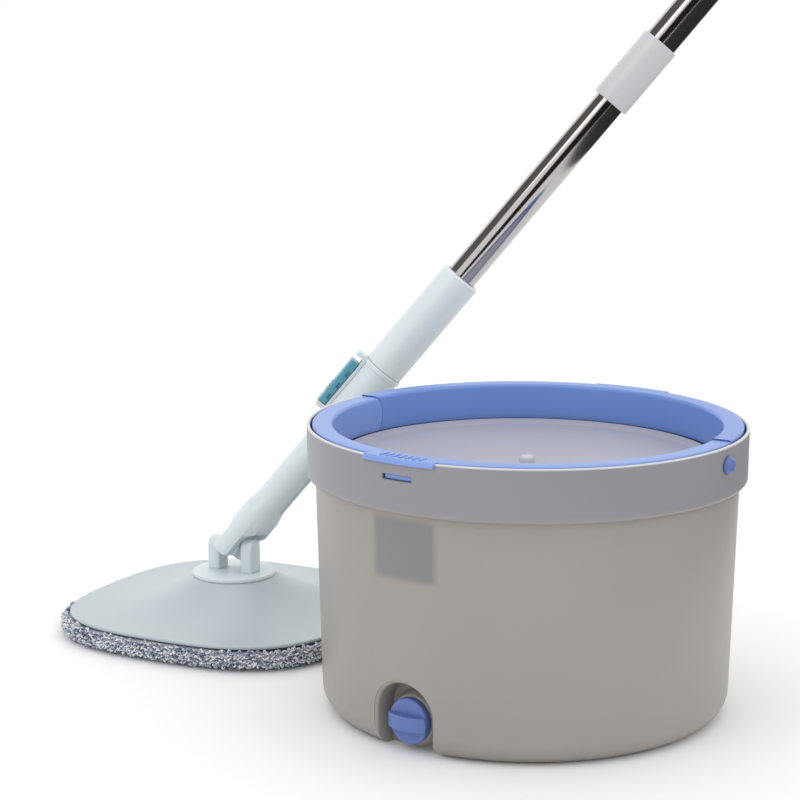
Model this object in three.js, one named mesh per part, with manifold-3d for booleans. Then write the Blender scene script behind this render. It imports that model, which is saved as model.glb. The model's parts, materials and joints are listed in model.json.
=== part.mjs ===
// Spin mop set: a round bucket with a spinning tray, a folding carry handle and a drain knob,
// and beside it a flat mop whose head tilts on a cross joint and whose pole drives it round when pressed.
// Units are millimetres, +Z is up, and the origin is the centre of the bucket's base on the floor.

import * as THREE from "three";
import { mergeVertices } from "three/addons/utils/BufferGeometryUtils.js";
import Module from "manifold-3d";

const wasm = await Module();
wasm.setup();

// ---- driving dimensions ----

const GAP = 0.3; // between pieces that rest on or sit in each other
const RUN = 0.4; // radial clearance of pieces that turn or slide in each other
const ROUND_LARGE = 40; // facets round the bucket's own circles
const ROUND_HEAD = 32; // facets round the mop head

// bucket shell
const BUCKET_HEIGHT = 198;
const BUCKET_RIM_R = 150; // outer radius at the lip
const BAND_OVERHANG = 6; // of the rim over the body just under the band
const BODY_TAPER = 4.4; // from there down to the base rounding
const BASE_ROUNDING = 21;
const WALL = 2.3;
const BAND_HEIGHT = 28; // straight part of the band below the lip
const BAND_ROUNDING = 8; // at the band's lower edge
const FLOOR_LIFT = 2; // the underside between the foot ring and the centre pad
const FOOT_RING_WIDTH = 12;
const CENTRE_PAD_R = 40;
const BUCKET_TURN = THREE.MathUtils.degToRad(-30); // heading of the pivot line

// ring in the bucket's mouth: the rear half is fixed, the front half is the carry handle
const HANDLE_PROUD = 0.5; // above the lip
const REAR_PROUD = 1.5; // above the lip
const RING_CLEARANCE = 1.4; // to the bucket's wall, so that the handle's ends pass it
const RING_WIDTH = 14.1;
const RING_WALL = 2;
const RING_ROUNDING = 1.6;
const RING_SKIRT = 23; // depth of the inner skirt
const RING_FOOT = 26; // depth of the outer skirt
const PIVOT_DROP = 12; // from the lip down to the pivot line
const PIVOT_R = 3;
const PIVOT_HEAD_R = 6;
const PIVOT_HEAD_PROUD = 3.5;
const HANDLE_EYE_R = 11; // solid boss round each pivot
const TAB_WIDTH_FRONT = 55;
const TAB_WIDTH_REAR = 59;
const TAB_OVERHANG = 2; // beyond the rim's outer face
const TAB_DEPTH = 3;
const FRONT_TAB_TURN = THREE.MathUtils.degToRad(-2.9); // from square to the pivot line
const REAR_TAB_TURN = THREE.MathUtils.degToRad(-1.2);
const TAB_RIBS = 7;
const TAB_RIB_PITCH = 5;
const TAB_RIB_WIDTH = 2;
const TAB_RIB_HEIGHT = 0.8;
const LATCH_WIDTH = 23; // window in the band and the barb behind it
const LATCH_HEIGHT = 4;
const LATCH_DROP = 12; // from the lip to the window's middle
const LATCH_BARB = 1.6; // how far the barb stands out of the outer skirt
const GUARD_WIDTH = 47; // plate inside the wall below the latch
const GUARD_DROP = 40; // from the lip down to its top
const GUARD_HEIGHT = 63;
const GUARD_WALL = 1.8;

// spinning tray
const TRAY_CLEARANCE = 0.6; // below the ring's inner skirt
const TRAY_GAP = 2; // to the ring's inner face, so that the handle's ends pass the edge
const TRAY_RISE = 6;
const TRAY_LIP = 2.5;
const TRAY_WALL = 2.2;
const AXLE_R = 2.5;
const BUSH_WALL = 1.5;
const HUB_WALL = 4.5;
const HUB_LENGTH = 13;
const CAP_R = 5;
const CAP_HEIGHT = 8;
const WASHER_R = 9;
const WASHER_THICK = 1.5;
const POST_R = 14;
const POST_WALL = 3;
const POST_FOOT_R = 28;
const POST_FOOT_THICK = 4;
const SPIGOT_HEIGHT = 12;
const AXLE_SEAT = 30; // length held in the post

// drain
const DRAIN_TURN = THREE.MathUtils.degToRad(-4); // from square to the pivot line
const DRAIN_Z = 20.5;
const POCKET_WIDTH = 44;
const POCKET_TOP = 47.5;
const POCKET_DEPTH = 19; // in from the wall
const DRAIN_HOLE_R = 7;
const DRAIN_BOSS_FLARE = 3.5; // foot of the boss beyond the knob's edge
const DRAIN_BOSS_HEIGHT = 8;
const KNOB_R = 15.5;
const KNOB_DISC = 5;
const KNOB_BAR_LENGTH = 29;
const KNOB_BAR_HEIGHT = 12;
const KNOB_BAR_PROUD = 7;
const KNOB_STEM = 20;
const SEAL_WALL = 2.5;
const SEAL_THICK = 3;

// mop head
const HEAD_GAP = 15.5; // from the bucket's rim to the middle of the pad's nearest side, were it square on
const HEAD_HEADING = THREE.MathUtils.degToRad(141.71); // of the head's middle from the bucket's
const HEAD_TURN = THREE.MathUtils.degToRad(-24.4);
const PAD_SIDE = 245;
const PAD_SQUARENESS = 2.95; // superellipse power of the outline
const PAD_HEIGHT = 15.3;
const PLATE_INSET = 8.25; // from the pad's edge to the plate's
const PLATE_SQUARENESS = 2.9;
const PLATE_WALL = 2.4;
const PLATE_FLARE = 2.2; // above 1 the slope steepens towards the disc
const DISC_LIFT = 25; // from the top of the plate's edge to the top of the disc
const DISC_R = 32;
const DISC_THICK = 3;
const EAR_SPAN = 40; // over both ears
const EAR_THICK = 10.8;
const EAR_R = 7.2;
const PIVOT_LIFT = 18.7; // from the disc to the crossing point of the two tilt axes
const EAR_SKIN = 1.6; // closes the outer end of each ear's bore
const PIN_R = 2.5;
const SCREW_RING_R = 24;
const SCREW_COUNT = 4;
const SCREW_R = 1.8;
const SCREW_HEAD_R = 3.6;
const SCREW_HEAD = 2;
const SCREW_BITE = 2; // length held in the disc, from below
const PITCH = THREE.MathUtils.degToRad(-21.37); // tilt about the ears' pin
const ROLL = THREE.MathUtils.degToRad(34.55); // tilt about the fork's pins

// neck and drive, heights measured along the pole from the tilt axes
const FORK_SWELL = 2; // of the fork's radius over the neck's
const FORK_SKIN = 1.6; // closes the outer end of each tine's bore
const FORK_TIP_HALF = 7.2; // half width of each tine
const FORK_TIP_DROP = 8; // below the crossing point
const FORK_TIP_ROUNDING = 3.5;
const FORK_TIP_TOP = 13.5; // where the tines widen into the body
const FORK_SLOT_TOP = 9.6; // over the crossing point, on the axis
const FORK_SLOT_SLOPE = THREE.MathUtils.degToRad(47);
const FORK_TOP = 35.5;
const NECK_START = 42.5;
const NECK_IN_HOUSING = 44; // length of the neck inside the housing at rest
const NECK_WALL = 3.5;
const KEYWAY_WIDTH = 3;
const KEYWAY_DEPTH = 1.2;
const SPINDLE_WIDTH = 9;
const SPINDLE_THICK = 4;
const SPINDLE_PAST_NUT = 33; // from the nut's lower end
const SPINDLE_SEAT = 8;
const TWIST_STEP = 6; // height of one facet of the twisted bar
const LEAD = 100; // travel for one whole turn
const NUT_IN_TUBE = 1.5; // up from the tube's lower end
const NUT_LENGTH = 12;
const NUT_CLEARANCE = 0.6;

// lock housing, sleeve and tubes
const SLEEVE_WALL = 2.1;
const SLEEVE_LENGTH = 92;
const HOUSING_START = 124.5;
const HOUSING_LENGTH = 56;
const RING_SEAT_LENGTH = 8;
const PRESS_RING_WALL = 1.1;
const BRACKET_PROUD = 8.25; // over the sleeve's outside
const BRACKET_INSET = 3; // from the lock housing's lower end
const SLIDER_GROOVE_WIDTH = 1.6;
const SLIDER_GROOVE_PITCH = 3.2;
const SLIDER_GROOVE_MARGIN = 1.5; // at each side of the slider
const BRACKET_WIDTH = 15;
const SLIDER_LENGTH = 40;
const SLIDER_THICK = 7;
const SLIDER_TRAVEL = 4.6;
const SLIDER_RIDGES = 3;
const SLIDER_RAIL_WIDTH = 6; // under the slider, in a groove of the bracket
const SLIDER_RAIL_HEIGHT = 1.4;
const BRACKET_TURN = THREE.MathUtils.degToRad(-145.4); // round the pole, from the fork's plane
const INNER_TUBE_R = 11.6;
const INNER_TUBE_WALL = 0.8;
const INNER_TUBE_IN_SLEEVE = 25.5;
const INNER_TUBE_TOP = 696.5;
const ADAPTER_WALL = 1.45;
const ADAPTER_LENGTH = 20;
const COLLAR_WALL = 1.5;
const COLLAR_START = 443.5;
const COLLAR_LENGTH = 57.5;
const COLLAR_LIP = 4;
const COLLET_LENGTH = 20;
const COLLET_SLIT = 1.5;
const OUTER_TUBE_WALL = 0.7;
const OUTER_TUBE_TOP = 1114.5;
const GRIP_WALL = 2.5;
const GRIP_LENGTH = 125;
const CAP_LENGTH = 17;
const CAP_PLUG_LENGTH = 14;
const CAP_ROUNDING = 8;

// ---- values worked out from them ----

const BODY_TOP_R = BUCKET_RIM_R - BAND_OVERHANG;
const BODY_BASE_R = BODY_TOP_R - BODY_TAPER;
const RING_TOP = BUCKET_HEIGHT + HANDLE_PROUD;
const RING_OUTER_R = BUCKET_RIM_R - WALL - RING_CLEARANCE;
const RING_INNER_R = RING_OUTER_R - RING_WIDTH;
const PIVOT_LINE_Z = BUCKET_HEIGHT - PIVOT_DROP;
const GUARD_TOP = BUCKET_HEIGHT - GUARD_DROP;
const GUARD_BOTTOM = GUARD_TOP - GUARD_HEIGHT;
const TRAY_R = RING_INNER_R - TRAY_GAP;
const TRAY_CENTRE_Z = RING_TOP - RING_SKIRT - TRAY_CLEARANCE - TRAY_LIP - TRAY_RISE;
const RING_ABOVE_PIVOT = RING_TOP - PIVOT_LINE_Z;
const REAR_ABOVE_PIVOT = BUCKET_HEIGHT + REAR_PROUD - PIVOT_LINE_Z;
// The upright handle's flange clears the top edge of the rear half by RUN.
const HANDLE_END_R = Math.hypot(RING_ABOVE_PIVOT + RUN, REAR_ABOVE_PIVOT) - RUN;
const FLOOR_TOP = FLOOR_LIFT + WALL;
const HUB_BORE_R = AXLE_R + RUN + BUSH_WALL + GAP;
const HUB_R = HUB_BORE_R + HUB_WALL;
const HUB_BOTTOM = TRAY_CENTRE_Z - HUB_LENGTH;
const POST_TOP = HUB_BOTTOM - WASHER_THICK - 2 * GAP;
const AXLE_TOP = TRAY_CENTRE_Z - TRAY_WALL;
const POCKET_BACK_R = BODY_BASE_R - POCKET_DEPTH;
const KNOB_START = POCKET_BACK_R + DRAIN_BOSS_HEIGHT + GAP;
const HEAD_DISTANCE = BUCKET_RIM_R + HEAD_GAP + PAD_SIDE / 2;
const PLATE_SIDE = PAD_SIDE - 2 * PLATE_INSET;
const PLATE_EDGE_Z = PAD_HEIGHT + GAP + PLATE_WALL;
const DISC_TOP_Z = PLATE_EDGE_Z + DISC_LIFT;
const PIVOT_Z = DISC_TOP_Z + PIVOT_LIFT;
const EAR_INNER = EAR_SPAN / 2 - EAR_THICK;
const EAR_PIN_HALF = EAR_SPAN / 2 - EAR_SKIN;
const PLATE_CENTRE_Z = DISC_TOP_Z - DISC_THICK - GAP;
const FORK_SLOT = EAR_R + 2.5 * RUN;
const NECK_R = INNER_TUBE_R + 2 * GAP + ADAPTER_WALL - RUN;
const FORK_R = NECK_R + FORK_SWELL;
const FORK_PIN_END = FORK_R - FORK_SKIN;
const NECK_TOP = HOUSING_START + NECK_IN_HOUSING;
const HOUSING_BORE_R = NECK_R + RUN;
const NECK_BORE_R = NECK_R - NECK_WALL;
const SLEEVE_R = HOUSING_BORE_R + SLEEVE_WALL;
const BRACKET_REACH = SLEEVE_R + BRACKET_PROUD;
const SLEEVE_START = HOUSING_START + HOUSING_LENGTH;
const SLEEVE_TOP = SLEEVE_START + SLEEVE_LENGTH;
const INNER_TUBE_START = SLEEVE_TOP - INNER_TUBE_IN_SLEEVE;
const NUT_START = INNER_TUBE_START + NUT_IN_TUBE;
const SPINDLE_TOP = NUT_START + SPINDLE_PAST_NUT;
const OUTER_TUBE_R = INNER_TUBE_R + RUN + OUTER_TUBE_WALL;
const COLLAR_R = OUTER_TUBE_R + RUN + COLLAR_WALL;
const COLLAR_TOP = COLLAR_START + COLLAR_LENGTH;
const GRIP_R = OUTER_TUBE_R + GAP + GRIP_WALL;
const POLE_TOP = OUTER_TUBE_TOP + CAP_LENGTH;
const OUTER_TUBE_START = COLLAR_START + COLLAR_LIP + COLLET_LENGTH + 2 * GAP;
const GRIP_START = OUTER_TUBE_TOP - GRIP_LENGTH + GAP;

// ---- solids ----

function toSolid(geometry) {
  const bare = geometry.clone();
  for (const name of Object.keys(bare.attributes)) {
    if (name !== "position") {
      bare.deleteAttribute(name);
    }
  }
  const merged = mergeVertices(bare);
  const position = merged.attributes.position;
  const corners = Array.from(merged.index.array);
  const triangles = [];
  let volume = 0;
  const [a, b, c] = [new THREE.Vector3(), new THREE.Vector3(), new THREE.Vector3()];
  for (let i = 0; i < corners.length; i += 3) {
    const [p, q, r] = corners.slice(i, i + 3);
    if (p === q || q === r || r === p) {
      continue;
    }
    triangles.push([p, q, r]);
    a.fromBufferAttribute(position, p);
    b.fromBufferAttribute(position, q);
    c.fromBufferAttribute(position, r);
    volume += a.dot(b.cross(c));
  }
  const outward = volume > 0 ? triangles : triangles.map(([p, q, r]) => [p, r, q]);
  const mesh = new wasm.Mesh({
    numProp: 3,
    vertProperties: new Float32Array(position.array),
    triVerts: new Uint32Array(outward.flat()),
  });
  return new wasm.Manifold(mesh);
}

function toGeometry(solid) {
  const mesh = solid.getMesh();
  const geometry = new THREE.BufferGeometry();
  geometry.setAttribute("position", new THREE.BufferAttribute(new Float32Array(mesh.vertProperties), 3));
  geometry.setIndex(new THREE.BufferAttribute(new Uint32Array(mesh.triVerts), 1));
  geometry.computeVertexNormals();
  return geometry;
}

function join(first, ...others) {
  return toGeometry(others.reduce((sum, next) => sum.add(toSolid(next)), toSolid(first)));
}

function cut(base, ...tools) {
  return toGeometry(tools.reduce((rest, tool) => rest.subtract(toSolid(tool)), toSolid(base)));
}

function common(first, second) {
  return toGeometry(toSolid(first).intersect(toSolid(second)));
}

function box(width, depth, height, x, y, z) {
  return new THREE.BoxGeometry(width, depth, height).translate(x, y, z);
}

function turned(profile, segments = 24) {
  const points = profile.map(([r, z]) => new THREE.Vector2(r, z));
  return toGeometry(toSolid(new THREE.LatheGeometry(points, segments).rotateX(Math.PI / 2)));
}

function tube(innerR, outerR, bottom, top, segments = 24) {
  return turned([[innerR, bottom], [outerR, bottom], [outerR, top], [innerR, top], [innerR, bottom]], segments);
}

function rod(radius, bottom, top, segments = 24) {
  return turned([[0, bottom], [radius, bottom], [radius, top], [0, top]], segments);
}

function arc(centreR, centreZ, radius, from, to, steps) {
  const points = [];
  for (let i = 0; i <= steps; i += 1) {
    const angle = THREE.MathUtils.degToRad(from + ((to - from) * i) / steps);
    points.push([centreR + radius * Math.cos(angle), centreZ + radius * Math.sin(angle)]);
  }
  return points;
}

function alongX(geometry) {
  return geometry.rotateY(Math.PI / 2);
}

function alongY(geometry) {
  return geometry.rotateX(-Math.PI / 2);
}

function slab(points, bottom, top) {
  const shape = new THREE.Shape(points.map(([x, y]) => new THREE.Vector2(x, y)));
  return new THREE.ExtrudeGeometry(shape, { depth: top - bottom, bevelEnabled: false }).translate(0, 0, bottom);
}

// Rings of equal point counts joined in order, the first and last closed to their own middle.
function loft(rings) {
  const count = rings[0].length;
  const positions = rings.flat().flatMap((point) => point.toArray());
  const index = [];
  for (let row = 0; row + 1 < rings.length; row += 1) {
    for (let i = 0; i < count; i += 1) {
      const next = (i + 1) % count;
      const [a, b] = [row * count + i, row * count + next];
      index.push(a, b, b + count, a, b + count, a + count);
    }
  }
  for (const row of [0, rings.length - 1]) {
    const middle = rings[row].reduce((sum, point) => sum.add(point), new THREE.Vector3()).divideScalar(count);
    const centre = positions.length / 3;
    positions.push(...middle.toArray());
    for (let i = 0; i < count; i += 1) {
      const [a, b] = [row * count + i, row * count + ((i + 1) % count)];
      index.push(...(row === 0 ? [centre, b, a] : [centre, a, b]));
    }
  }
  const geometry = new THREE.BufferGeometry();
  geometry.setAttribute("position", new THREE.Float32BufferAttribute(positions, 3));
  geometry.setIndex(index);
  return toGeometry(toSolid(geometry));
}

function finish(color, roughness, metalness = 0) {
  return new THREE.MeshStandardMaterial({ color, roughness, metalness });
}

function piece(name, geometry, material) {
  const mesh = new THREE.Mesh(geometry, material);
  mesh.name = name;
  return mesh;
}

// ---- bucket, drawn with the pivot line along X and the handle towards -Y ----

function bucketOutline() {
  const bandBottom = BUCKET_HEIGHT - BAND_HEIGHT;
  const roundR = BUCKET_RIM_R - 0.5 - BAND_ROUNDING;
  const footR = BODY_BASE_R - BASE_ROUNDING;
  return {
    outer: [
      [CENTRE_PAD_R, 0],
      [CENTRE_PAD_R + FLOOR_LIFT, FLOOR_LIFT],
      [footR - FOOT_RING_WIDTH - FLOOR_LIFT, FLOOR_LIFT],
      [footR - FOOT_RING_WIDTH, 0],
      ...arc(footR, BASE_ROUNDING, BASE_ROUNDING, -90, 0, 4),
      ...arc(roundR, bandBottom, BAND_ROUNDING, -70, 0, 3),
      [BUCKET_RIM_R, BUCKET_HEIGHT],
    ],
    inner: [
      [BUCKET_RIM_R - WALL, BUCKET_HEIGHT],
      ...arc(roundR, bandBottom, BAND_ROUNDING - WALL, 0, -70, 3),
      ...arc(footR, FLOOR_TOP + BASE_ROUNDING - WALL, BASE_ROUNDING - WALL, 0, -90, 4),
    ],
  };
}

function archPrism(width, top, fromR, toR) {
  const half = width / 2;
  const shape = new THREE.Shape();
  shape.moveTo(-half, -1);
  shape.lineTo(half, -1);
  shape.lineTo(half, top - half);
  shape.absarc(0, top - half, half, 0, Math.PI, false);
  shape.lineTo(-half, -1);
  const prism = new THREE.ExtrudeGeometry(shape, { depth: toR - fromR, bevelEnabled: false, curveSegments: 8 });
  return prism.rotateX(Math.PI / 2).translate(0, -fromR, 0).rotateZ(DRAIN_TURN);
}

function drainRod(radius, fromR, toR, segments = 16) {
  const solid = rod(radius, fromR, toR, segments).rotateX(Math.PI / 2);
  return solid.translate(0, 0, DRAIN_Z).rotateZ(DRAIN_TURN);
}

function atTab(geometry, side) {
  return geometry.rotateZ(side < 0 ? FRONT_TAB_TURN : REAR_TAB_TURN);
}

function rimWindow(width, side) {
  const middleR = BUCKET_RIM_R - WALL;
  return atTab(box(width, 4 * WALL, LATCH_HEIGHT, 0, side * middleR, BUCKET_HEIGHT - LATCH_DROP), side);
}

function rimNotch(width, side) {
  const depth = TAB_DEPTH + GAP;
  return atTab(box(width + 2 * GAP, 6 * WALL, 2 * depth, 0, side * (BUCKET_RIM_R - WALL), BUCKET_HEIGHT), side);
}

function bucketShell() {
  const { outer, inner } = bucketOutline();
  const full = turned([[0, 0], ...outer, [0, BUCKET_HEIGHT]], ROUND_LARGE);
  const above = BUCKET_HEIGHT + 1;
  const hollow = turned([[0, above], [BUCKET_RIM_R - WALL, above], ...inner, [0, FLOOR_TOP]], ROUND_LARGE);
  const lining = archPrism(POCKET_WIDTH + 2 * WALL, POCKET_TOP + WALL, POCKET_BACK_R - WALL, BUCKET_RIM_R);
  const boss = turned([
    [0, POCKET_BACK_R - WALL / 2],
    [KNOB_R + DRAIN_BOSS_FLARE, POCKET_BACK_R - WALL / 2],
    [KNOB_R + DRAIN_BOSS_FLARE, POCKET_BACK_R + DRAIN_BOSS_HEIGHT / 4],
    [KNOB_R + 1, POCKET_BACK_R + DRAIN_BOSS_HEIGHT],
    [0, POCKET_BACK_R + DRAIN_BOSS_HEIGHT],
  ], 24).rotateX(Math.PI / 2).translate(0, 0, DRAIN_Z).rotateZ(DRAIN_TURN);
  const spigot = rod(POST_R - POST_WALL - GAP, FLOOR_TOP - 1, FLOOR_TOP + SPIGOT_HEIGHT);
  const pocket = cut(archPrism(POCKET_WIDTH, POCKET_TOP, POCKET_BACK_R, BUCKET_RIM_R + 10), boss);
  return cut(
    join(cut(full, hollow), common(full, lining), spigot),
    pocket,
    drainRod(DRAIN_HOLE_R, POCKET_BACK_R - 10, KNOB_START),
    rimWindow(LATCH_WIDTH, -1),
    rimWindow(LATCH_WIDTH, 1),
    rimNotch(TAB_WIDTH_FRONT, -1),
    rimNotch(TAB_WIDTH_REAR, 1),
    pivotHole(1),
    pivotHole(-1),
  );
}

// From the inner face of the ring's inner skirt, which stays closed, out through the wall.
function pivotHole(side) {
  const hole = alongX(rod(PIVOT_R + RUN, RING_INNER_R + RING_WALL, BUCKET_RIM_R + 5, 16));
  return hole.rotateZ(side > 0 ? 0 : Math.PI).translate(0, 0, PIVOT_LINE_Z);
}

function mouthRing(top) {
  const r = RING_ROUNDING;
  const profile = [
    [RING_INNER_R, RING_TOP - RING_SKIRT],
    [RING_INNER_R + RING_WALL, RING_TOP - RING_SKIRT],
    [RING_INNER_R + RING_WALL, top - RING_WALL],
    [RING_OUTER_R - RING_WALL, top - RING_WALL],
    [RING_OUTER_R - RING_WALL, RING_TOP - RING_FOOT],
    [RING_OUTER_R, RING_TOP - RING_FOOT],
    ...arc(RING_OUTER_R - r, top - r, r, 0, 90, 2),
    ...arc(RING_INNER_R + r, top - r, r, 90, 180, 2),
    [RING_INNER_R, RING_TOP - RING_SKIRT],
  ];
  return turned(profile, ROUND_LARGE);
}

// Everything in front of the pivot line, with ends that turn about the pivots.
function handleRegion(endR) {
  const reach = 2 * BUCKET_RIM_R;
  const front = box(2 * reach, reach, reach, 0, -reach / 2, PIVOT_LINE_Z);
  return join(front, alongX(rod(endR, -reach, reach, 48)).translate(0, 0, PIVOT_LINE_Z));
}

function liftTab(width, side, top) {
  const outerR = BUCKET_RIM_R + TAB_OVERHANG;
  const under = BUCKET_HEIGHT - TAB_DEPTH;
  const arcBand = turned([
    [RING_OUTER_R - RING_WALL, under],
    [outerR, under],
    ...arc(outerR - RING_ROUNDING, top - RING_ROUNDING, RING_ROUNDING, 0, 90, 2),
    [RING_OUTER_R - RING_WALL, top],
    [RING_OUTER_R - RING_WALL, under],
  ], ROUND_LARGE);
  return atTab(common(arcBand, box(width, 4 * RING_WIDTH, 8 * TAB_DEPTH, 0, side * BUCKET_RIM_R, top)), side);
}

function gripRib(place, side) {
  const length = RING_WIDTH - 3 * RING_ROUNDING;
  const y = side * (RING_OUTER_R - RING_WALL / 2);
  const z = RING_TOP - TAB_RIB_HEIGHT;
  return atTab(box(TAB_RIB_WIDTH, length, 4 * TAB_RIB_HEIGHT, place * TAB_RIB_PITCH, y, z), side);
}

function latchBarb(side) {
  const z = BUCKET_HEIGHT - LATCH_DROP;
  const half = (LATCH_HEIGHT - 1) / 2;
  const ring = tube(RING_OUTER_R - RING_WALL / 2, RING_OUTER_R + LATCH_BARB, z - half, z + half, ROUND_LARGE);
  return atTab(common(ring, box(LATCH_WIDTH - 2, 4 * RING_WIDTH, RING_WIDTH, 0, side * RING_OUTER_R, z)), side);
}

function carryHandle() {
  const half = common(mouthRing(RING_TOP), handleRegion(HANDLE_END_R));
  const eyes = [-1, 1].map((side) => {
    const eye = rod(HANDLE_EYE_R, RING_INNER_R + RING_WALL - GAP, RING_OUTER_R - RING_WALL / 2);
    return alongX(eye).rotateZ(side > 0 ? 0 : Math.PI).translate(0, 0, PIVOT_LINE_Z);
  });
  const ribs = [];
  for (let i = 0; i < TAB_RIBS; i += 1) {
    ribs.push(gripRib(i - (TAB_RIBS - 1) / 2, -1));
  }
  const handle = join(half, ...eyes, liftTab(TAB_WIDTH_FRONT, -1, RING_TOP), ...ribs, latchBarb(-1));
  return cut(handle, pivotHole(1), pivotHole(-1));
}

function rimRing() {
  const top = BUCKET_HEIGHT + REAR_PROUD;
  const half = cut(mouthRing(top), handleRegion(HANDLE_END_R + RUN));
  return join(half, liftTab(TAB_WIDTH_REAR, 1, top), latchBarb(1));
}

function pivotPin() {
  const neck = BUCKET_RIM_R + GAP;
  const domeTop = neck + PIVOT_HEAD_PROUD;
  return alongX(turned([
    [0, RING_INNER_R + RING_WALL + GAP],
    [PIVOT_R, RING_INNER_R + RING_WALL + GAP],
    [PIVOT_R, neck],
    [PIVOT_HEAD_R, neck],
    [PIVOT_HEAD_R, neck + 1],
    [PIVOT_HEAD_R * 0.7, domeTop - 0.6],
    [0, domeTop],
  ], 16)).translate(0, 0, PIVOT_LINE_Z);
}

function latchGuard() {
  const rise = (GUARD_BOTTOM - BASE_ROUNDING) / BUCKET_HEIGHT;
  const outerR = BODY_BASE_R + BODY_TAPER * rise - WALL - GAP;
  const band = tube(outerR - GUARD_WALL, outerR, GUARD_BOTTOM, GUARD_TOP, ROUND_LARGE);
  return atTab(common(band, box(GUARD_WIDTH, 6 * RING_WIDTH, BUCKET_HEIGHT, 0, -outerR, BUCKET_HEIGHT / 2)), -1);
}

function centrePost() {
  const bore = POST_R - POST_WALL;
  const foot = FLOOR_TOP + GAP;
  const axleBore = AXLE_R + GAP;
  return turned([
    [bore, foot],
    [POST_FOOT_R, foot],
    [POST_FOOT_R, foot + POST_FOOT_THICK],
    [POST_R + POST_WALL, foot + POST_FOOT_THICK],
    [POST_R, foot + 3 * POST_FOOT_THICK],
    [POST_R, POST_TOP],
    [axleBore, POST_TOP],
    [axleBore, POST_TOP - AXLE_SEAT],
    [bore, POST_TOP - AXLE_SEAT - POST_WALL],
    [bore, foot],
  ]);
}

function hubAxle() {
  return rod(AXLE_R, POST_TOP - AXLE_SEAT + GAP, AXLE_TOP - GAP);
}

function thrustWasher() {
  return tube(AXLE_R + RUN, WASHER_R, POST_TOP + GAP, POST_TOP + GAP + WASHER_THICK);
}

function hubBush() {
  return tube(AXLE_R + RUN, AXLE_R + RUN + BUSH_WALL, HUB_BOTTOM + GAP, AXLE_TOP - GAP);
}

function spinTray() {
  const dish = [0.3, 0.6, 0.8, 0.94].map((share) => [TRAY_R * share, TRAY_CENTRE_Z + TRAY_RISE * share * share]);
  const top = [[HUB_BORE_R, TRAY_CENTRE_Z], ...dish, [TRAY_R, TRAY_CENTRE_Z + TRAY_RISE + TRAY_LIP]];
  const under = dish.map(([r, z]) => [r, z - TRAY_WALL]).reverse();
  const edge = [[TRAY_R, TRAY_CENTRE_Z + TRAY_RISE + TRAY_LIP - TRAY_WALL]];
  const hub = [[HUB_R, TRAY_CENTRE_Z - TRAY_WALL], [HUB_R, HUB_BOTTOM], [HUB_BORE_R, HUB_BOTTOM]];
  return turned([...top, ...edge, ...under, ...hub, top[0]], ROUND_LARGE);
}

function hubCap() {
  const seat = TRAY_CENTRE_Z + GAP;
  const side = seat + CAP_HEIGHT - CAP_R;
  const stemR = HUB_BORE_R - GAP;
  return turned([
    [0, AXLE_TOP + GAP],
    [stemR, AXLE_TOP + GAP],
    [stemR, seat],
    [CAP_R + 1, seat],
    [CAP_R, seat + 1],
    ...arc(0, side, CAP_R, 0, 90, 5),
  ]);
}

function drainKnob() {
  const discEnd = KNOB_START + KNOB_DISC;
  const stem = drainRod(DRAIN_HOLE_R - RUN, KNOB_START - KNOB_STEM, KNOB_START + 1);
  const barMiddle = discEnd + KNOB_BAR_PROUD / 2 - 1;
  const bar = box(KNOB_BAR_LENGTH, KNOB_BAR_PROUD + 2, KNOB_BAR_HEIGHT, 0, -barMiddle, DRAIN_Z);
  const rounded = common(bar.rotateZ(DRAIN_TURN), drainRod(KNOB_R - 1, discEnd - 3, discEnd + KNOB_BAR_PROUD, 16));
  return join(drainRod(KNOB_R, KNOB_START, discEnd, 24), stem, rounded);
}

function drainSeal() {
  const innerFace = POCKET_BACK_R - WALL - GAP;
  const ring = tube(DRAIN_HOLE_R + GAP, DRAIN_HOLE_R + GAP + SEAL_WALL, innerFace - SEAL_THICK, innerFace);
  return ring.rotateX(Math.PI / 2).translate(0, 0, DRAIN_Z).rotateZ(DRAIN_TURN);
}

function bucketSet() {
  const shellPlastic = finish(0xa4a09c, 0.45);
  const bluePlastic = finish(0x8ea6e0, 0.45);
  const steel = finish(0xb8bcc0, 0.3, 1);
  const group = new THREE.Group();
  group.rotation.z = BUCKET_TURN;
  group.add(
    piece("bucket_shell", bucketShell(), shellPlastic),
    piece("rim_ring", rimRing(), bluePlastic),
    piece("carry_handle", carryHandle(), finish(0x96abe0, 0.45)),
    piece("pivot_pin_right", pivotPin(), finish(0x7d95d6, 0.4)),
    piece("pivot_pin_left", pivotPin().rotateZ(Math.PI), finish(0x7d95d6, 0.4)),
    piece("latch_guard", latchGuard(), finish(0x8b8b8d, 0.5)),
    piece("centre_post", centrePost(), finish(0xb4b4bc, 0.5)),
    piece("hub_axle", hubAxle(), steel),
    piece("thrust_washer", thrustWasher(), finish(0xe8e8e4, 0.35)),
    piece("spin_tray", spinTray(), finish(0xb0b0bc, 0.4)),
    piece("hub_bush", hubBush(), finish(0xd8c48a, 0.4)),
    piece("hub_cap", hubCap(), finish(0xe8e8ec, 0.35)),
    piece("drain_knob", drainKnob(), finish(0x5a76b4, 0.4)),
    piece("drain_seal", drainSeal(), finish(0x2b2b2d, 0.8)),
  );
  return group;
}

// ---- mop head, drawn about its own middle with the ears apart along X ----

function squareRing(side, power, shrink, z, count = ROUND_HEAD) {
  const half = side / 2;
  const ring = [];
  for (let i = 0; i < count; i += 1) {
    const angle = (2 * Math.PI * i) / count;
    const [c, s] = [Math.cos(angle), Math.sin(angle)];
    const reach = half / (Math.abs(c) ** power + Math.abs(s) ** power) ** (1 / power) - shrink;
    ring.push(new THREE.Vector3(reach * c, reach * s, z));
  }
  return ring;
}

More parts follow.
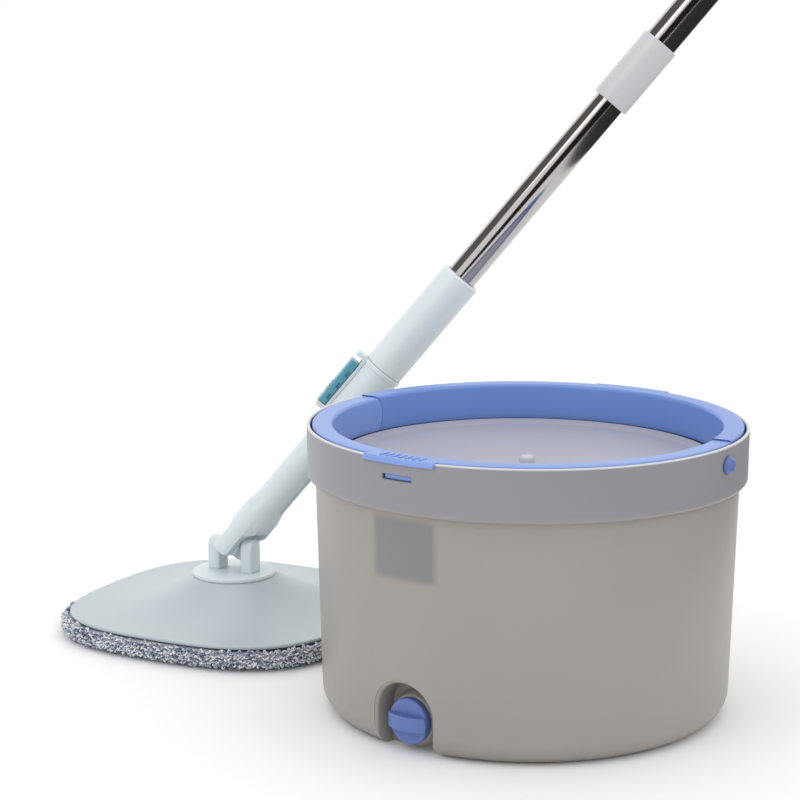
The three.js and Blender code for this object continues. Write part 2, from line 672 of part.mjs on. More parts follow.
function roundRing(radius, z, count = ROUND_HEAD) {
  return squareRing(2 * radius, 2, 0, z, count);
}

function mopPad() {
  const r = PAD_HEIGHT / 3;
  return loft([
    squareRing(PAD_SIDE, PAD_SQUARENESS, r, 0),
    squareRing(PAD_SIDE, PAD_SQUARENESS, 0, r),
    squareRing(PAD_SIDE, PAD_SQUARENESS, 0, PAD_HEIGHT - r),
    squareRing(PAD_SIDE, PAD_SQUARENESS, r, PAD_HEIGHT),
  ]);
}

// The plate is flat near its edge, then climbs in a smooth cone to the flat seat of the disc.
function plateFace(drop) {
  const flat = 12;
  const rise = PLATE_CENTRE_Z - PLATE_EDGE_Z;
  const mixed = (share) => {
    const edge = squareRing(PLATE_SIDE, PLATE_SQUARENESS, flat, 0);
    const seat = roundRing(DISC_R, 0);
    const z = PLATE_EDGE_Z + rise * share ** PLATE_FLARE - drop;
    return edge.map((point, i) => point.clone().lerp(seat[i], share).setZ(z));
  };
  return [
    squareRing(PLATE_SIDE, PLATE_SQUARENESS, 1, PLATE_EDGE_Z - drop),
    mixed(0),
    mixed(0.35),
    mixed(0.65),
    mixed(0.85),
    mixed(1),
  ];
}

function headPlate() {
  const side = PLATE_EDGE_Z - PLATE_WALL / 2;
  const rim = squareRing(PLATE_SIDE, PLATE_SQUARENESS, 0, side);
  return loft([...plateFace(PLATE_WALL).reverse(), rim, ...plateFace(0)]);
}

function screwPlace(i) {
  const angle = (2 * Math.PI * (i + 0.5)) / SCREW_COUNT;
  return [SCREW_RING_R * Math.cos(angle), SCREW_RING_R * Math.sin(angle)];
}

function screwHole(i, bottom, top) {
  const [x, y] = screwPlace(i);
  return rod(SCREW_R + GAP, bottom, top, 10).translate(x, y, 0);
}

function ear(side) {
  const middle = side * (EAR_INNER + EAR_THICK / 2);
  const bottom = DISC_TOP_Z - 1;
  const pillar = box(EAR_THICK, 2 * EAR_R, PIVOT_Z - bottom, middle, 0, (PIVOT_Z + bottom) / 2);
  const dome = alongX(rod(EAR_R, -EAR_THICK / 2, EAR_THICK / 2)).translate(middle, 0, PIVOT_Z);
  return join(pillar, dome);
}

function clevisMount() {
  const disc = turned([
    [0, DISC_TOP_Z - DISC_THICK],
    [DISC_R, DISC_TOP_Z - DISC_THICK],
    [DISC_R, DISC_TOP_Z - 1],
    [DISC_R - 1, DISC_TOP_Z],
    [0, DISC_TOP_Z],
  ]);
  const bore = alongX(rod(PIN_R + GAP, -EAR_PIN_HALF, EAR_PIN_HALF, 16)).translate(0, 0, PIVOT_Z);
  const holes = [];
  for (let i = 0; i < SCREW_COUNT; i += 1) {
    holes.push(screwHole(i, DISC_TOP_Z - DISC_THICK - 1, DISC_TOP_Z - DISC_THICK + SCREW_BITE + GAP));
  }
  return cut(join(disc, ear(-1), ear(1)), bore, ...holes);
}

function mountScrew(i) {
  const seat = PLATE_CENTRE_Z - PLATE_WALL - GAP;
  const tip = DISC_TOP_Z - DISC_THICK + SCREW_BITE;
  const [x, y] = screwPlace(i);
  return turned([
    [0, seat - SCREW_HEAD],
    [SCREW_HEAD_R - 1, seat - SCREW_HEAD],
    [SCREW_HEAD_R, seat - SCREW_HEAD / 4],
    [SCREW_HEAD_R, seat],
    [SCREW_R, seat],
    [SCREW_R, tip - 1],
    [0, tip],
  ], 10).translate(x, y, 0);
}

function earPin() {
  return alongX(rod(PIN_R, GAP - EAR_PIN_HALF, EAR_PIN_HALF - GAP, 16)).translate(0, 0, PIVOT_Z);
}

function headSet() {
  const group = new THREE.Group();
  const palePlastic = finish(0xc6ced4, 0.4);
  const holes = [];
  for (let i = 0; i < SCREW_COUNT; i += 1) {
    holes.push(screwHole(i, 0, DISC_TOP_Z));
    group.add(piece(`mount_screw_${i + 1}`, mountScrew(i), finish(0xb4b8bc, 0.35, 1)));
  }
  group.add(
    piece("mop_pad", mopPad(), finish(0xa9adb9, 0.95)),
    piece("head_plate", cut(headPlate(), ...holes), finish(0xc6cfd6, 0.4)),
    piece("clevis_mount", clevisMount(), palePlastic),
    piece("ear_pin", earPin(), finish(0xa8acb0, 0.3, 1)),
  );
  return group;
}

// ---- cross block and neck, drawn about the crossing point of the tilt axes ----

function crossBlock() {
  const x = 2 * (EAR_INNER - GAP);
  const y = 2 * (FORK_SLOT - RUN);
  const cube = box(x, y, y, 0, 0, 0);
  const roundX = alongX(rod(EAR_R + 1.2, -x, x));
  const roundY = alongY(rod(EAR_R + 1.2, -y, y));
  const earBore = alongX(rod(PIN_R + GAP, -x, x, 16));
  const stubBore = alongY(rod(PIN_R + GAP, -y, y, 16));
  return cut(common(common(cube, roundX), roundY), earBore, stubBore);
}

function forkPin(side) {
  const [from, to] = [PIN_R + 2 * GAP, FORK_PIN_END - GAP];
  const solid = rod(PIN_R, from, to);
  return side > 0 ? alongY(solid) : alongY(solid).rotateZ(Math.PI);
}

function forkSlot() {
  const reach = 2 * FORK_R;
  const rise = reach * Math.tan(FORK_SLOT_SLOPE);
  const outline = [
    [-reach, -reach],
    [reach, -reach],
    [reach, FORK_SLOT_TOP + rise],
    [0, FORK_SLOT_TOP],
    [-reach, FORK_SLOT_TOP + rise],
  ];
  return slab(outline, -FORK_SLOT, FORK_SLOT).rotateX(Math.PI / 2);
}

// Side outline of the fork: straight tines with rounded tips that widen to the full body.
function forkFlank() {
  const wide = FORK_R + 1;
  const [half, r] = [FORK_TIP_HALF, FORK_TIP_ROUNDING];
  const shoulder = FORK_TIP_TOP + (wide - half) * Math.tan(FORK_SLOT_SLOPE);
  const outline = [
    ...arc(-half + r, -FORK_TIP_DROP + r, r, -180, -90, 3),
    ...arc(half - r, -FORK_TIP_DROP + r, r, -90, 0, 3),
    [half, FORK_TIP_TOP],
    [wide, shoulder],
    [wide, NECK_TOP + 1],
    [-wide, NECK_TOP + 1],
    [-wide, shoulder],
    [-half, FORK_TIP_TOP],
  ];
  return slab(outline, -wide, wide).rotateX(Math.PI / 2);
}

function keyway() {
  const from = NECK_START + 2;
  const depth = 2 * KEYWAY_DEPTH;
  return box(depth, KEYWAY_WIDTH, NECK_TOP + 1 - from, NECK_R, 0, (from + NECK_TOP + 1) / 2);
}

function neck() {
  const body = turned([
    [0, -FORK_R],
    [FORK_R, -FORK_R],
    [FORK_R, FORK_TOP],
    [NECK_R, NECK_START],
    [NECK_R, NECK_TOP],
    [NECK_BORE_R, NECK_TOP],
    [NECK_BORE_R, NECK_START],
    [0, NECK_START],
  ]);
  const stubBore = alongY(rod(PIN_R + GAP, -FORK_PIN_END, FORK_PIN_END, 16));
  const socket = twistedBar(NUT_CLEARANCE, NECK_START - SPINDLE_SEAT, NECK_START + 1);
  return cut(common(body, forkFlank()), forkSlot(), stubBore, keyway(), socket);
}

// Flat bar whose section turns once in every LEAD along the pole, on one grid of heights.
function twistedBar(clearance, bottom, top) {
  const [w, t] = [SPINDLE_WIDTH / 2 + clearance, SPINDLE_THICK / 2 + clearance];
  const across = [-w, -w / 3, w / 3, w];
  const section = [...across.map((x) => [x, -t]), ...across.reverse().map((x) => [x, t])];
  const heights = [bottom];
  for (let z = (Math.floor(bottom / TWIST_STEP) + 1) * TWIST_STEP; z < top; z += TWIST_STEP) {
    heights.push(z);
  }
  heights.push(top);
  const axis = new THREE.Vector3(0, 0, 1);
  return loft(heights.map((z) => {
    const turn = (2 * Math.PI * (z - NECK_START)) / LEAD;
    return section.map(([x, y]) => new THREE.Vector3(x, y, z).applyAxisAngle(axis, turn));
  }));
}

function driveSpindle() {
  return twistedBar(0, NECK_START - SPINDLE_SEAT + 2 * GAP, SPINDLE_TOP);
}

// ---- lower handle, drawn along the pole ----

function pressRing() {
  const inner = NECK_R + GAP;
  const from = HOUSING_START + GAP;
  const ring = tube(inner, inner + PRESS_RING_WALL, from, from + RING_SEAT_LENGTH - 2 * GAP);
  const keyFrom = NECK_R - KEYWAY_DEPTH + GAP;
  const keyTo = inner + PRESS_RING_WALL / 2;
  const middle = from + RING_SEAT_LENGTH / 2;
  const key = box(keyTo - keyFrom, KEYWAY_WIDTH - 2 * GAP, RING_SEAT_LENGTH - 2, (keyFrom + keyTo) / 2, 0, middle);
  return join(ring, key);
}

function lockHousing() {
  const seatR = NECK_R + GAP + PRESS_RING_WALL + RUN;
  const top = SLEEVE_START - GAP;
  const body = turned([
    [HOUSING_BORE_R, HOUSING_START + RING_SEAT_LENGTH],
    [seatR, HOUSING_START + RING_SEAT_LENGTH],
    [seatR, HOUSING_START],
    [SLEEVE_R - 0.5, HOUSING_START],
    [SLEEVE_R, HOUSING_START + 1],
    [SLEEVE_R, top],
    [HOUSING_BORE_R, top],
    [HOUSING_BORE_R, HOUSING_START + RING_SEAT_LENGTH],
  ]);
  const start = HOUSING_START + BRACKET_INSET;
  const length = top - start;
  const root = NECK_R + 1;
  const bracket = box(BRACKET_REACH - root, BRACKET_WIDTH, length, (BRACKET_REACH + root) / 2, 0, start + length / 2);
  const floor = BRACKET_REACH - SLIDER_THICK;
  const channel = box(2 * SLIDER_THICK, BRACKET_WIDTH + 2, channelLength(), floor + SLIDER_THICK, 0, channelMiddle());
  const groove = box(2 * SLIDER_RAIL_HEIGHT, SLIDER_RAIL_WIDTH + 2 * RUN, channelLength(), floor, 0, channelMiddle());
  const core = rod((seatR + SLEEVE_R) / 2, start - 1, top + 1);
  return join(body, cut(bracket, core, channel, groove));
}

function channelLength() {
  return SLIDER_LENGTH + SLIDER_TRAVEL + 2 * RUN;
}

function channelMiddle() {
  return (HOUSING_START + BRACKET_INSET + SLEEVE_START) / 2;
}

function lockSlider() {
  const bottom = BRACKET_REACH - SLIDER_THICK + GAP;
  const z = channelMiddle() - SLIDER_TRAVEL / 2;
  const slide = box(BRACKET_REACH - bottom, BRACKET_WIDTH, SLIDER_LENGTH, (BRACKET_REACH + bottom) / 2, 0, z);
  const railTop = bottom + SLIDER_RAIL_HEIGHT;
  const railBottom = bottom - SLIDER_RAIL_HEIGHT + 2 * GAP;
  const rail = box(railTop - railBottom, SLIDER_RAIL_WIDTH, SLIDER_LENGTH, (railTop + railBottom) / 2, 0, z);
  const grooves = [];
  for (let i = 0; i < SLIDER_RIDGES; i += 1) {
    const place = z - SLIDER_LENGTH / 4 + SLIDER_GROOVE_PITCH * i;
    const width = BRACKET_WIDTH - 2 * SLIDER_GROOVE_MARGIN;
    grooves.push(box(SLIDER_GROOVE_WIDTH, width, SLIDER_GROOVE_WIDTH, BRACKET_REACH, 0, place));
  }
  return cut(join(slide, rail), ...grooves);
}

function sleeve() {
  const bore = HOUSING_BORE_R;
  const neckIn = INNER_TUBE_R + GAP;
  return turned([
    [bore, SLEEVE_START],
    [SLEEVE_R, SLEEVE_START],
    [SLEEVE_R, SLEEVE_TOP - 3],
    [SLEEVE_R - 1, SLEEVE_TOP - 3],
    [SLEEVE_R - 1.5, SLEEVE_TOP],
    [neckIn, SLEEVE_TOP],
    [neckIn, SLEEVE_TOP - 4],
    [bore, SLEEVE_TOP - 4],
    [bore, SLEEVE_START],
  ]);
}

function tubeAdapter() {
  const top = SLEEVE_TOP - 4 - GAP;
  return tube(INNER_TUBE_R + GAP, HOUSING_BORE_R - GAP, top - ADAPTER_LENGTH + 2, top);
}

function driveNut() {
  const body = rod(INNER_TUBE_R - INNER_TUBE_WALL - GAP, NUT_START, NUT_START + NUT_LENGTH);
  return cut(body, twistedBar(NUT_CLEARANCE, NUT_START - 4, NUT_START + NUT_LENGTH + 4));
}

function innerTube() {
  return tube(INNER_TUBE_R - INNER_TUBE_WALL, INNER_TUBE_R, INNER_TUBE_START, INNER_TUBE_TOP);
}

// ---- upper handle ----

function collet() {
  const from = COLLAR_START + COLLAR_LIP + GAP;
  const ring = tube(INNER_TUBE_R + GAP, OUTER_TUBE_R, from, from + COLLET_LENGTH);
  return cut(ring, box(2 * COLLAR_R, COLLET_SLIT, COLLET_LENGTH - 4, COLLAR_R, 0, from + COLLET_LENGTH / 2 - 3));
}

function tubeCollar() {
  const bore = OUTER_TUBE_R + RUN;
  const lipR = INNER_TUBE_R + RUN;
  return turned([
    [lipR, COLLAR_START],
    [COLLAR_R - 1.5, COLLAR_START],
    [COLLAR_R, COLLAR_START + 1.5],
    [COLLAR_R, COLLAR_TOP - 2],
    [COLLAR_R - 1, COLLAR_TOP],
    [bore, COLLAR_TOP],
    [bore, COLLAR_START + COLLAR_LIP],
    [lipR, COLLAR_START + COLLAR_LIP],
    [lipR, COLLAR_START],
  ]);
}

function outerTube() {
  return tube(OUTER_TUBE_R - OUTER_TUBE_WALL, OUTER_TUBE_R, OUTER_TUBE_START, OUTER_TUBE_TOP);
}

function handGrip() {
  const inner = OUTER_TUBE_R + GAP;
  const top = OUTER_TUBE_TOP;
  const waist = GRIP_R - 1;
  return turned([
    [inner, GRIP_START],
    [waist, GRIP_START],
    [GRIP_R, GRIP_START + 3],
    [GRIP_R, GRIP_START + 10],
    [waist, GRIP_START + 18],
    [waist, top - 18],
    [GRIP_R, top - 8],
    [GRIP_R, top],
    [inner, top],
    [inner, GRIP_START],
  ]);
}

function endCap() {
  const seat = OUTER_TUBE_TOP + GAP;
  const plugR = OUTER_TUBE_R - OUTER_TUBE_WALL - GAP;
  return turned([
    [0, seat - CAP_PLUG_LENGTH],
    [plugR, seat - CAP_PLUG_LENGTH],
    [plugR, seat],
    [GRIP_R, seat],
    [GRIP_R, POLE_TOP - CAP_ROUNDING],
    ...arc(GRIP_R - CAP_ROUNDING, POLE_TOP - CAP_ROUNDING, CAP_ROUNDING, 0, 90, 4),
    [0, POLE_TOP],
  ]);
}

function poleSet() {
  const palePlastic = finish(0xc4cccf, 0.4);
  const chrome = finish(0xd6d8da, 0.12, 1);
  const blockGroup = new THREE.Group();
  blockGroup.position.z = PIVOT_Z;
  blockGroup.rotation.x = PITCH;
  blockGroup.add(
    piece("cross_block", crossBlock(), finish(0xb9c1c6, 0.4)),
    piece("fork_pin_front", forkPin(-1), finish(0xa8acb0, 0.3, 1)),
    piece("fork_pin_rear", forkPin(1), finish(0xa8acb0, 0.3, 1)),
  );
  const neckGroup = new THREE.Group();
  neckGroup.rotation.y = ROLL;
  neckGroup.add(
    piece("neck", neck(), palePlastic),
    piece("drive_spindle", driveSpindle(), finish(0x9ea2a6, 0.35, 1)),
    piece("press_ring", pressRing(), finish(0xdadde0, 0.4)),
    piece("drive_nut", driveNut(), finish(0xe2dfd6, 0.5)),
  );
  const handleGroup = new THREE.Group();
  handleGroup.rotation.z = BRACKET_TURN;
  handleGroup.add(
    piece("lock_housing", lockHousing(), finish(0xc4cccf, 0.4)),
    piece("lock_slider", lockSlider(), finish(0x4b8caa, 0.3)),
    piece("sleeve", sleeve(), finish(0xc4cccf, 0.4)),
    piece("tube_adapter", tubeAdapter(), finish(0xb4b8bc, 0.5)),
    piece("inner_tube", innerTube(), chrome),
    piece("collet", collet(), finish(0x9a9ea2, 0.5)),
    piece("tube_collar", tubeCollar(), finish(0xc9c9cb, 0.4)),
    piece("outer_tube", outerTube(), finish(0xd6d8da, 0.12, 1)),
    piece("hand_grip", handGrip(), finish(0x8c9298, 0.7)),
    piece("end_cap", endCap(), finish(0xc9c9cb, 0.4)),
  );
  neckGroup.add(handleGroup);
  blockGroup.add(neckGroup);
  return blockGroup;
}

function mopSet() {
  const group = new THREE.Group();
  group.position.set(HEAD_DISTANCE * Math.cos(HEAD_HEADING), HEAD_DISTANCE * Math.sin(HEAD_HEADING), 0);
  group.rotation.z = HEAD_TURN;
  group.add(headSet(), poleSet());
  return group;
}

const spinMop = new THREE.Group();
spinMop.add(bucketSet(), mopSet());

export default spinMop;
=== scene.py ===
"""Spin mop set: a translucent bucket with a blue folding handle, and a flat mop with a looped pad."""

import json
import math

import bmesh
import bpy
import numpy as np
from mathutils import Matrix, Vector


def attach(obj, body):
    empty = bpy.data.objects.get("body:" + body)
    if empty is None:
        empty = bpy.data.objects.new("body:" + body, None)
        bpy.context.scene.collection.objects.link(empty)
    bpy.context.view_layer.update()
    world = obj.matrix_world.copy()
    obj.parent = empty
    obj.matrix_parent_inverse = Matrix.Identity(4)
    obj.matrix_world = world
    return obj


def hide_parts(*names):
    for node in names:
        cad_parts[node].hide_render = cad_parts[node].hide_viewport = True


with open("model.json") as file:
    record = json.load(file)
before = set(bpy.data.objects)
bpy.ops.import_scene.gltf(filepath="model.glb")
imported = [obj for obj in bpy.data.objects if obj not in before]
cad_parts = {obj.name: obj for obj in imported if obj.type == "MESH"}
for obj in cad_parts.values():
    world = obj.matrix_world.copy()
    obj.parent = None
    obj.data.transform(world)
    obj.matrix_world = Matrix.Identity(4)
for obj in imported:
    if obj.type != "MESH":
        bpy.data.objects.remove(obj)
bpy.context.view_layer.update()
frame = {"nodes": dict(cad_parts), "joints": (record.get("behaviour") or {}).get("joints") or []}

MM = 0.001
JOINTS = {joint["name"]: joint for joint in frame["joints"]}


# ---- places ----

def place(origin, x_axis, z_axis):
    """Matrix from a piece's own millimetres to the model's metres."""
    z = Vector(z_axis).normalized()
    x = Vector(x_axis)
    x = (x - z * x.dot(z)).normalized()
    turn = Matrix((x, z.cross(x), z)).transposed().to_4x4()
    return Matrix.Translation(Vector(origin)) @ turn @ Matrix.Scale(MM, 4)


def joint_axis(name):
    return Vector(JOINTS[name]["axis"])


def joint_place(name):
    return Vector(JOINTS[name]["pos_m"])


UP = Vector((0, 0, 1))
PIVOT = joint_place("head_pitch")
POLE = -joint_axis("pole_press") if joint_axis("pole_press").z < 0 else joint_axis("pole_press")
ROLL_AXIS = joint_axis("head_roll")
ROLL_AXIS = ROLL_AXIS if ROLL_AXIS.y > 0 else -ROLL_AXIS
PITCH_AXIS = joint_axis("head_pitch")
PITCH_AXIS = PITCH_AXIS if PITCH_AXIS.x > 0 else -PITCH_AXIS
BUCKET_X = joint_axis("handle_lift")
BUCKET_X = BUCKET_X if BUCKET_X.x > 0 else -BUCKET_X
BRACKET_TURN = math.radians(-145.4)

BUCKET_PLACE = place((0, 0, 0), BUCKET_X, UP)
HEAD_PLACE = place((PIVOT.x, PIVOT.y, 0), PITCH_AXIS, UP)
BLOCK_PLACE = place(PIVOT, PITCH_AXIS, PITCH_AXIS.cross(ROLL_AXIS))
NECK_PLACE = place(PIVOT, ROLL_AXIS.cross(POLE), POLE)
LOCK_PLACE = NECK_PLACE @ Matrix.Rotation(BRACKET_TURN, 4, "Z")


# ---- shapes, each in its own millimetres ----

def solid(points, faces, name="work"):
    """A linked object of one closed, outward mesh."""
    mesh = bpy.data.meshes.new(name)
    mesh.from_pydata([tuple(map(float, p)) for p in points], [], faces)
    shape = bmesh.new()
    shape.from_mesh(mesh)
    bmesh.ops.remove_doubles(shape, verts=shape.verts, dist=1e-4)
    bmesh.ops.recalc_face_normals(shape, faces=shape.faces)
    shape.to_mesh(mesh)
    shape.free()
    made = bpy.data.objects.new(name, mesh)
    bpy.context.scene.collection.objects.link(made)
    return made


def rounded(corners, closed=True, steps=5):
    """Points of a line through (x, y, radius) corners, each turned on its own radius."""
    count = len(corners)
    points = []
    for i, (x, y, radius) in enumerate(corners):
        if radius <= 0 or (not closed and i in (0, count - 1)):
            points.append((x, y))
            continue
        here = Vector((x, y))
        before = Vector(corners[i - 1][:2]) - here
        after = Vector(corners[(i + 1) % count][:2]) - here
        half = before.angle(after) / 2
        reach = min(radius / math.tan(half), 0.49 * before.length, 0.49 * after.length)
        radius = reach * math.tan(half)
        before.normalize()
        after.normalize()
        middle = here + (before + after).normalized() * radius / math.sin(half)
        start = here + before * reach - middle
        end = here + after * reach - middle
        sweep = start.angle_signed(end)
        for k in range(steps + 1):
            turn = -sweep * k / steps
            c, s = math.cos(turn), math.sin(turn)
            points.append((middle.x + start.x * c - start.y * s, middle.y + start.x * s + start.y * c))
    return points


def turned(profile, around=96):
    """A round solid. A profile that never meets the axis closes on itself."""
    closed = min(r for r, _ in profile) > 1e-6
    points = []
    rows = []
    for r, z in profile:
        if r <= 1e-6:
            rows.append([len(points)] * around)
            points.append((0, 0, z))
            continue
        rows.append(range(len(points), len(points) + around))
        for i in range(around):
            angle = 2 * math.pi * i / around
            points.append((r * math.cos(angle), r * math.sin(angle), z))
    faces = []
    for row in range(len(rows) if closed else len(rows) - 1):
        low, high = rows[row], rows[(row + 1) % len(rows)]
        for i in range(around):
            j = (i + 1) % around
            corners = dict.fromkeys((low[i], low[j], high[j], high[i]))
            if len(corners) > 2:
                faces.append(tuple(corners))
    return solid(points, faces)


def lofted(rings):
    """Rings of equal point counts joined in order, the first and the last closed by one face each."""
    count = len(rings[0])
    points = [p for ring in rings for p in ring]
    faces = [tuple(range(count)), tuple(range(len(points) - count, len(points)))]
    for row in range(len(rings) - 1):
        for i in range(count):
            j = (i + 1) % count
            a, b = row * count + i, row * count + j
            faces.append((a, b, b + count, a + count))
    return solid(points, faces)


def prism(outline, start, end, axis="Z"):
    """An outline in the plane across an axis, drawn out along that axis."""
    order = {"X": lambda u, v, w: (w, u, v), "Y": lambda u, v, w: (u, w, v), "Z": lambda u, v,
             w: (u, v, w)}[axis]
    return lofted([[order(u, v, w) for u, v in outline] for w in (start, end)])


def block(width, depth, height, centre=(0, 0, 0), radius=0.0, axis="Z"):
    """A bar whose four edges along one axis are rounded."""
    sizes = {"X": (depth, height, width), "Y": (width, height, depth), "Z": (width, depth, height)}[axis]
    a, b = sizes[0] / 2, sizes[1] / 2
    outline = rounded([(-a, -b, radius), (a, -b, radius), (a, b, radius), (-a, b, radius)])
    made = prism(outline, -sizes[2] / 2, sizes[2] / 2, axis)
    return moved(made, Matrix.Translation(centre))


def moved(shape, matrix):
    shape.data.transform(matrix)
    return shape


def lying(shape, direction):
    """Turns a shape drawn along Z to lie along a direction."""
    return moved(shape, Vector(direction).to_track_quat("Z", "Y").to_matrix().to_4x4())


def settle(shape):
    """Makes a shape's modifiers part of its mesh."""
    bpy.context.view_layer.update()
    seen = shape.evaluated_get(bpy.context.evaluated_depsgraph_get())
    mesh = bpy.data.meshes.new_from_object(seen)
    shape.modifiers.clear()
    shape.data = mesh
    return shape


def combine(shape, tools, operation):
    for tool in tools:
        carve = shape.modifiers.new("carve", "BOOLEAN")
        carve.object = tool
        carve.operation = operation
        carve.solver = "EXACT"
    settle(shape)
    for tool in tools:
        bpy.data.objects.remove(tool)
    return shape


def cut(shape, *tools):
    return combine(shape, tools, "DIFFERENCE")


def join(shape, *tools):
    return combine(shape, tools, "UNION")


def common(shape, *tools):
    return combine(shape, tools, "INTERSECT")


def softened(shape, width, angle=32, segments=2):
    """Breaks every sharp edge, as a mould's own radius does."""
    edge = shape.modifiers.new("edge", "BEVEL")
    edge.width = width
    edge.segments = segments
    edge.limit_method = "ANGLE"
    edge.angle_limit = math.radians(angle)
    edge.use_clamp_overlap = True
    edge.miter_outer = "MITER_ARC"
    return settle(shape)


def piece(name, shape, where, material, body, nodes, smooth=38):
    """Puts a finished shape in the model and says which CAD nodes it stands for."""
    shape.name = name
    shape.data.name = name
    shape.data.transform(where)
    shape.data.materials.clear()
    shape.data.materials.append(material)
    shape.data.polygons.foreach_set("material_index", [0] * len(shape.data.polygons))
    shape.data.shade_smooth()
    shape.data.set_sharp_from_angle(angle=math.radians(smooth))
    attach(shape, body)
    if nodes:
        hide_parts(*nodes)
    return shape


# ---- materials ----

def linear(code, alpha=1.0):
    """An sRGB hex code as linear colour."""
    channels = [int(code[i:i + 2], 16) / 255 for i in (0, 2, 4)]
    return tuple(c / 12.92 if c <= 0.04045 else ((c + 0.055) / 1.055) ** 2.4 for c in channels) + (alpha,)


def add(tree, kind, inputs=None, **settings):
    """Adds a node with its settings, and its inputs as values or links."""
    made = tree.nodes.new(kind)
    for name, value in settings.items():
        setattr(made, name, value)
    for name, value in (inputs or {}).items():
        if isinstance(value, bpy.types.NodeSocket):
            tree.links.new(value, made.inputs[name])
        else:
            made.inputs[name].default_value = value
    return made


def new_material(name, **values):
    """A material with one Principled shader; returns it with its tree and that shader."""
    material = bpy.data.materials.new(name)
    material.use_nodes = True
    tree = material.node_tree
    shader = tree.nodes["Principled BSDF"]
    for socket, value in values.items():
        shader.inputs[socket.replace("_", " ")].default_value = value
    return material, tree, shader


def moulded(name, colours, roughness, grain=0.35, relief=0.02, sheen_spread=0.06, **values):
    """Injection-moulded plastic: a faint cloudy tone, a fine spark texture and slightly uneven gloss."""
    material, tree, shader = new_material(name, **values)
    place_in = add(tree, "ShaderNodeTexCoord").outputs["Object"]
    cloud = add(tree, "ShaderNodeTexNoise", {"Vector": place_in, "Scale": 14.0, "Detail": 3.0})
    spark = add(tree, "ShaderNodeTexNoise", {"Vector": place_in, "Scale": 1 / (grain * MM), "Detail": 2.0})
    tone = add(tree, "ShaderNodeMix", {0: cloud.outputs["Fac"], 6: linear(colours[0]), 7: linear(colours[1])},
               data_type="RGBA")
    tree.links.new(tone.outputs[2], shader.inputs["Base Color"])
    gloss = add(tree, "ShaderNodeMapRange", {"Value": spark.outputs["Fac"], "From Min": 0.3, "From Max": 0.7,
                                             "To Min": roughness - sheen_spread,
                                             "To Max": roughness + sheen_spread})
    tree.links.new(gloss.outputs["Result"], shader.inputs["Roughness"])
    bump = add(tree, "ShaderNodeBump", {"Height": spark.outputs["Fac"], "Strength": 0.35,
                                        "Distance": relief * MM})
    tree.links.new(bump.outputs["Normal"], shader.inputs["Normal"])
    return material


def steel(name, colour, roughness, run=0.12, along=POLE):
    """Polished or brushed metal with fine drawing lines along one direction."""
    material, tree, shader = new_material(name, Metallic=1.0)
    place_in = add(tree, "ShaderNodeTexCoord").outputs["Object"]
    turn = along.to_track_quat("Z", "Y").inverted().to_euler()
    lined = add(tree, "ShaderNodeMapping", {"Vector": place_in, "Rotation": turn, "Scale": (1.0, 1.0, 0.01)})
    lines = add(tree, "ShaderNodeTexNoise", {"Vector": lined.outputs["Vector"], "Scale": 1 / (run * MM),
                                             "Detail": 2.0})
    smear = add(tree, "ShaderNodeTexNoise", {"Vector": place_in, "Scale": 30.0, "Detail": 4.0})
    mixed = add(tree, "ShaderNodeMath", {0: lines.outputs["Fac"], 1: smear.outputs["Fac"]}, operation="ADD")
    gloss = add(tree, "ShaderNodeMapRange", {"Value": mixed.outputs["Value"], "From Min": 0.7,
                                             "From Max": 1.3,
                                             "To Min": roughness * 0.8, "To Max": roughness * 1.25})
    tree.links.new(gloss.outputs["Result"], shader.inputs["Roughness"])
    shader.inputs["Base Color"].default_value = linear(colour)
    bump = add(tree, "ShaderNodeBump", {"Height": lines.outputs["Fac"], "Strength": 0.15,
                                        "Distance": 0.01 * MM})
    tree.links.new(bump.outputs["Normal"], shader.inputs["Normal"])
    return material


def painted_shadow_patch(tree, coordinates, x, z, half_width, half_height, blur):
    """1 inside a soft-edged rectangle on the front of the bucket's own X and Z, in metres: the mask of a painted
    shadow.
    """
    split = add(tree, "ShaderNodeSeparateXYZ", {"Vector": coordinates})
    product = None
    for axis, middle, half in (("X", x, half_width), ("Z", z, half_height)):
        offset = add(tree, "ShaderNodeMath", {0: split.outputs[axis], 1: middle * MM}, operation="SUBTRACT")
        size = add(tree, "ShaderNodeMath", {0: offset.outputs["Value"]}, operation="ABSOLUTE")
        edge = add(tree, "ShaderNodeMapRange", {"Value": size.outputs["Value"],
                                                "From Min": (half - blur) * MM,
                                                "From Max": (half + blur) * MM, "To Min": 1.0, "To Max": 0.0},
                   interpolation_type="SMOOTHSTEP")
        product = edge.outputs["Result"] if product is None else add(
            tree, "ShaderNodeMath", {0: product,
                                     1: edge.outputs["Result"]}, operation="MULTIPLY").outputs["Value"]
    front = add(tree, "ShaderNodeMapRange", {"Value": split.outputs["Y"], "From Min": -0.02, "From Max": 0.02,
                                             "To Min": 1.0, "To Max": 0.0})
    return add(tree, "ShaderNodeMath", {0: product, 1: front.outputs["Result"]},
               operation="MULTIPLY").outputs["Value"]


# Tones mixed over the bucket's plastic: painted shade on the band, a painted shadow of the latch guard, a painted
# highlight on the lip.
BAND_PAINTED_SHADE_TONE, GUARD_PAINTED_SHADOW_TONE, LIP_PAINTED_HIGHLIGHT_TONE = "8A888D", "7C7C7E", "CDCCCC"


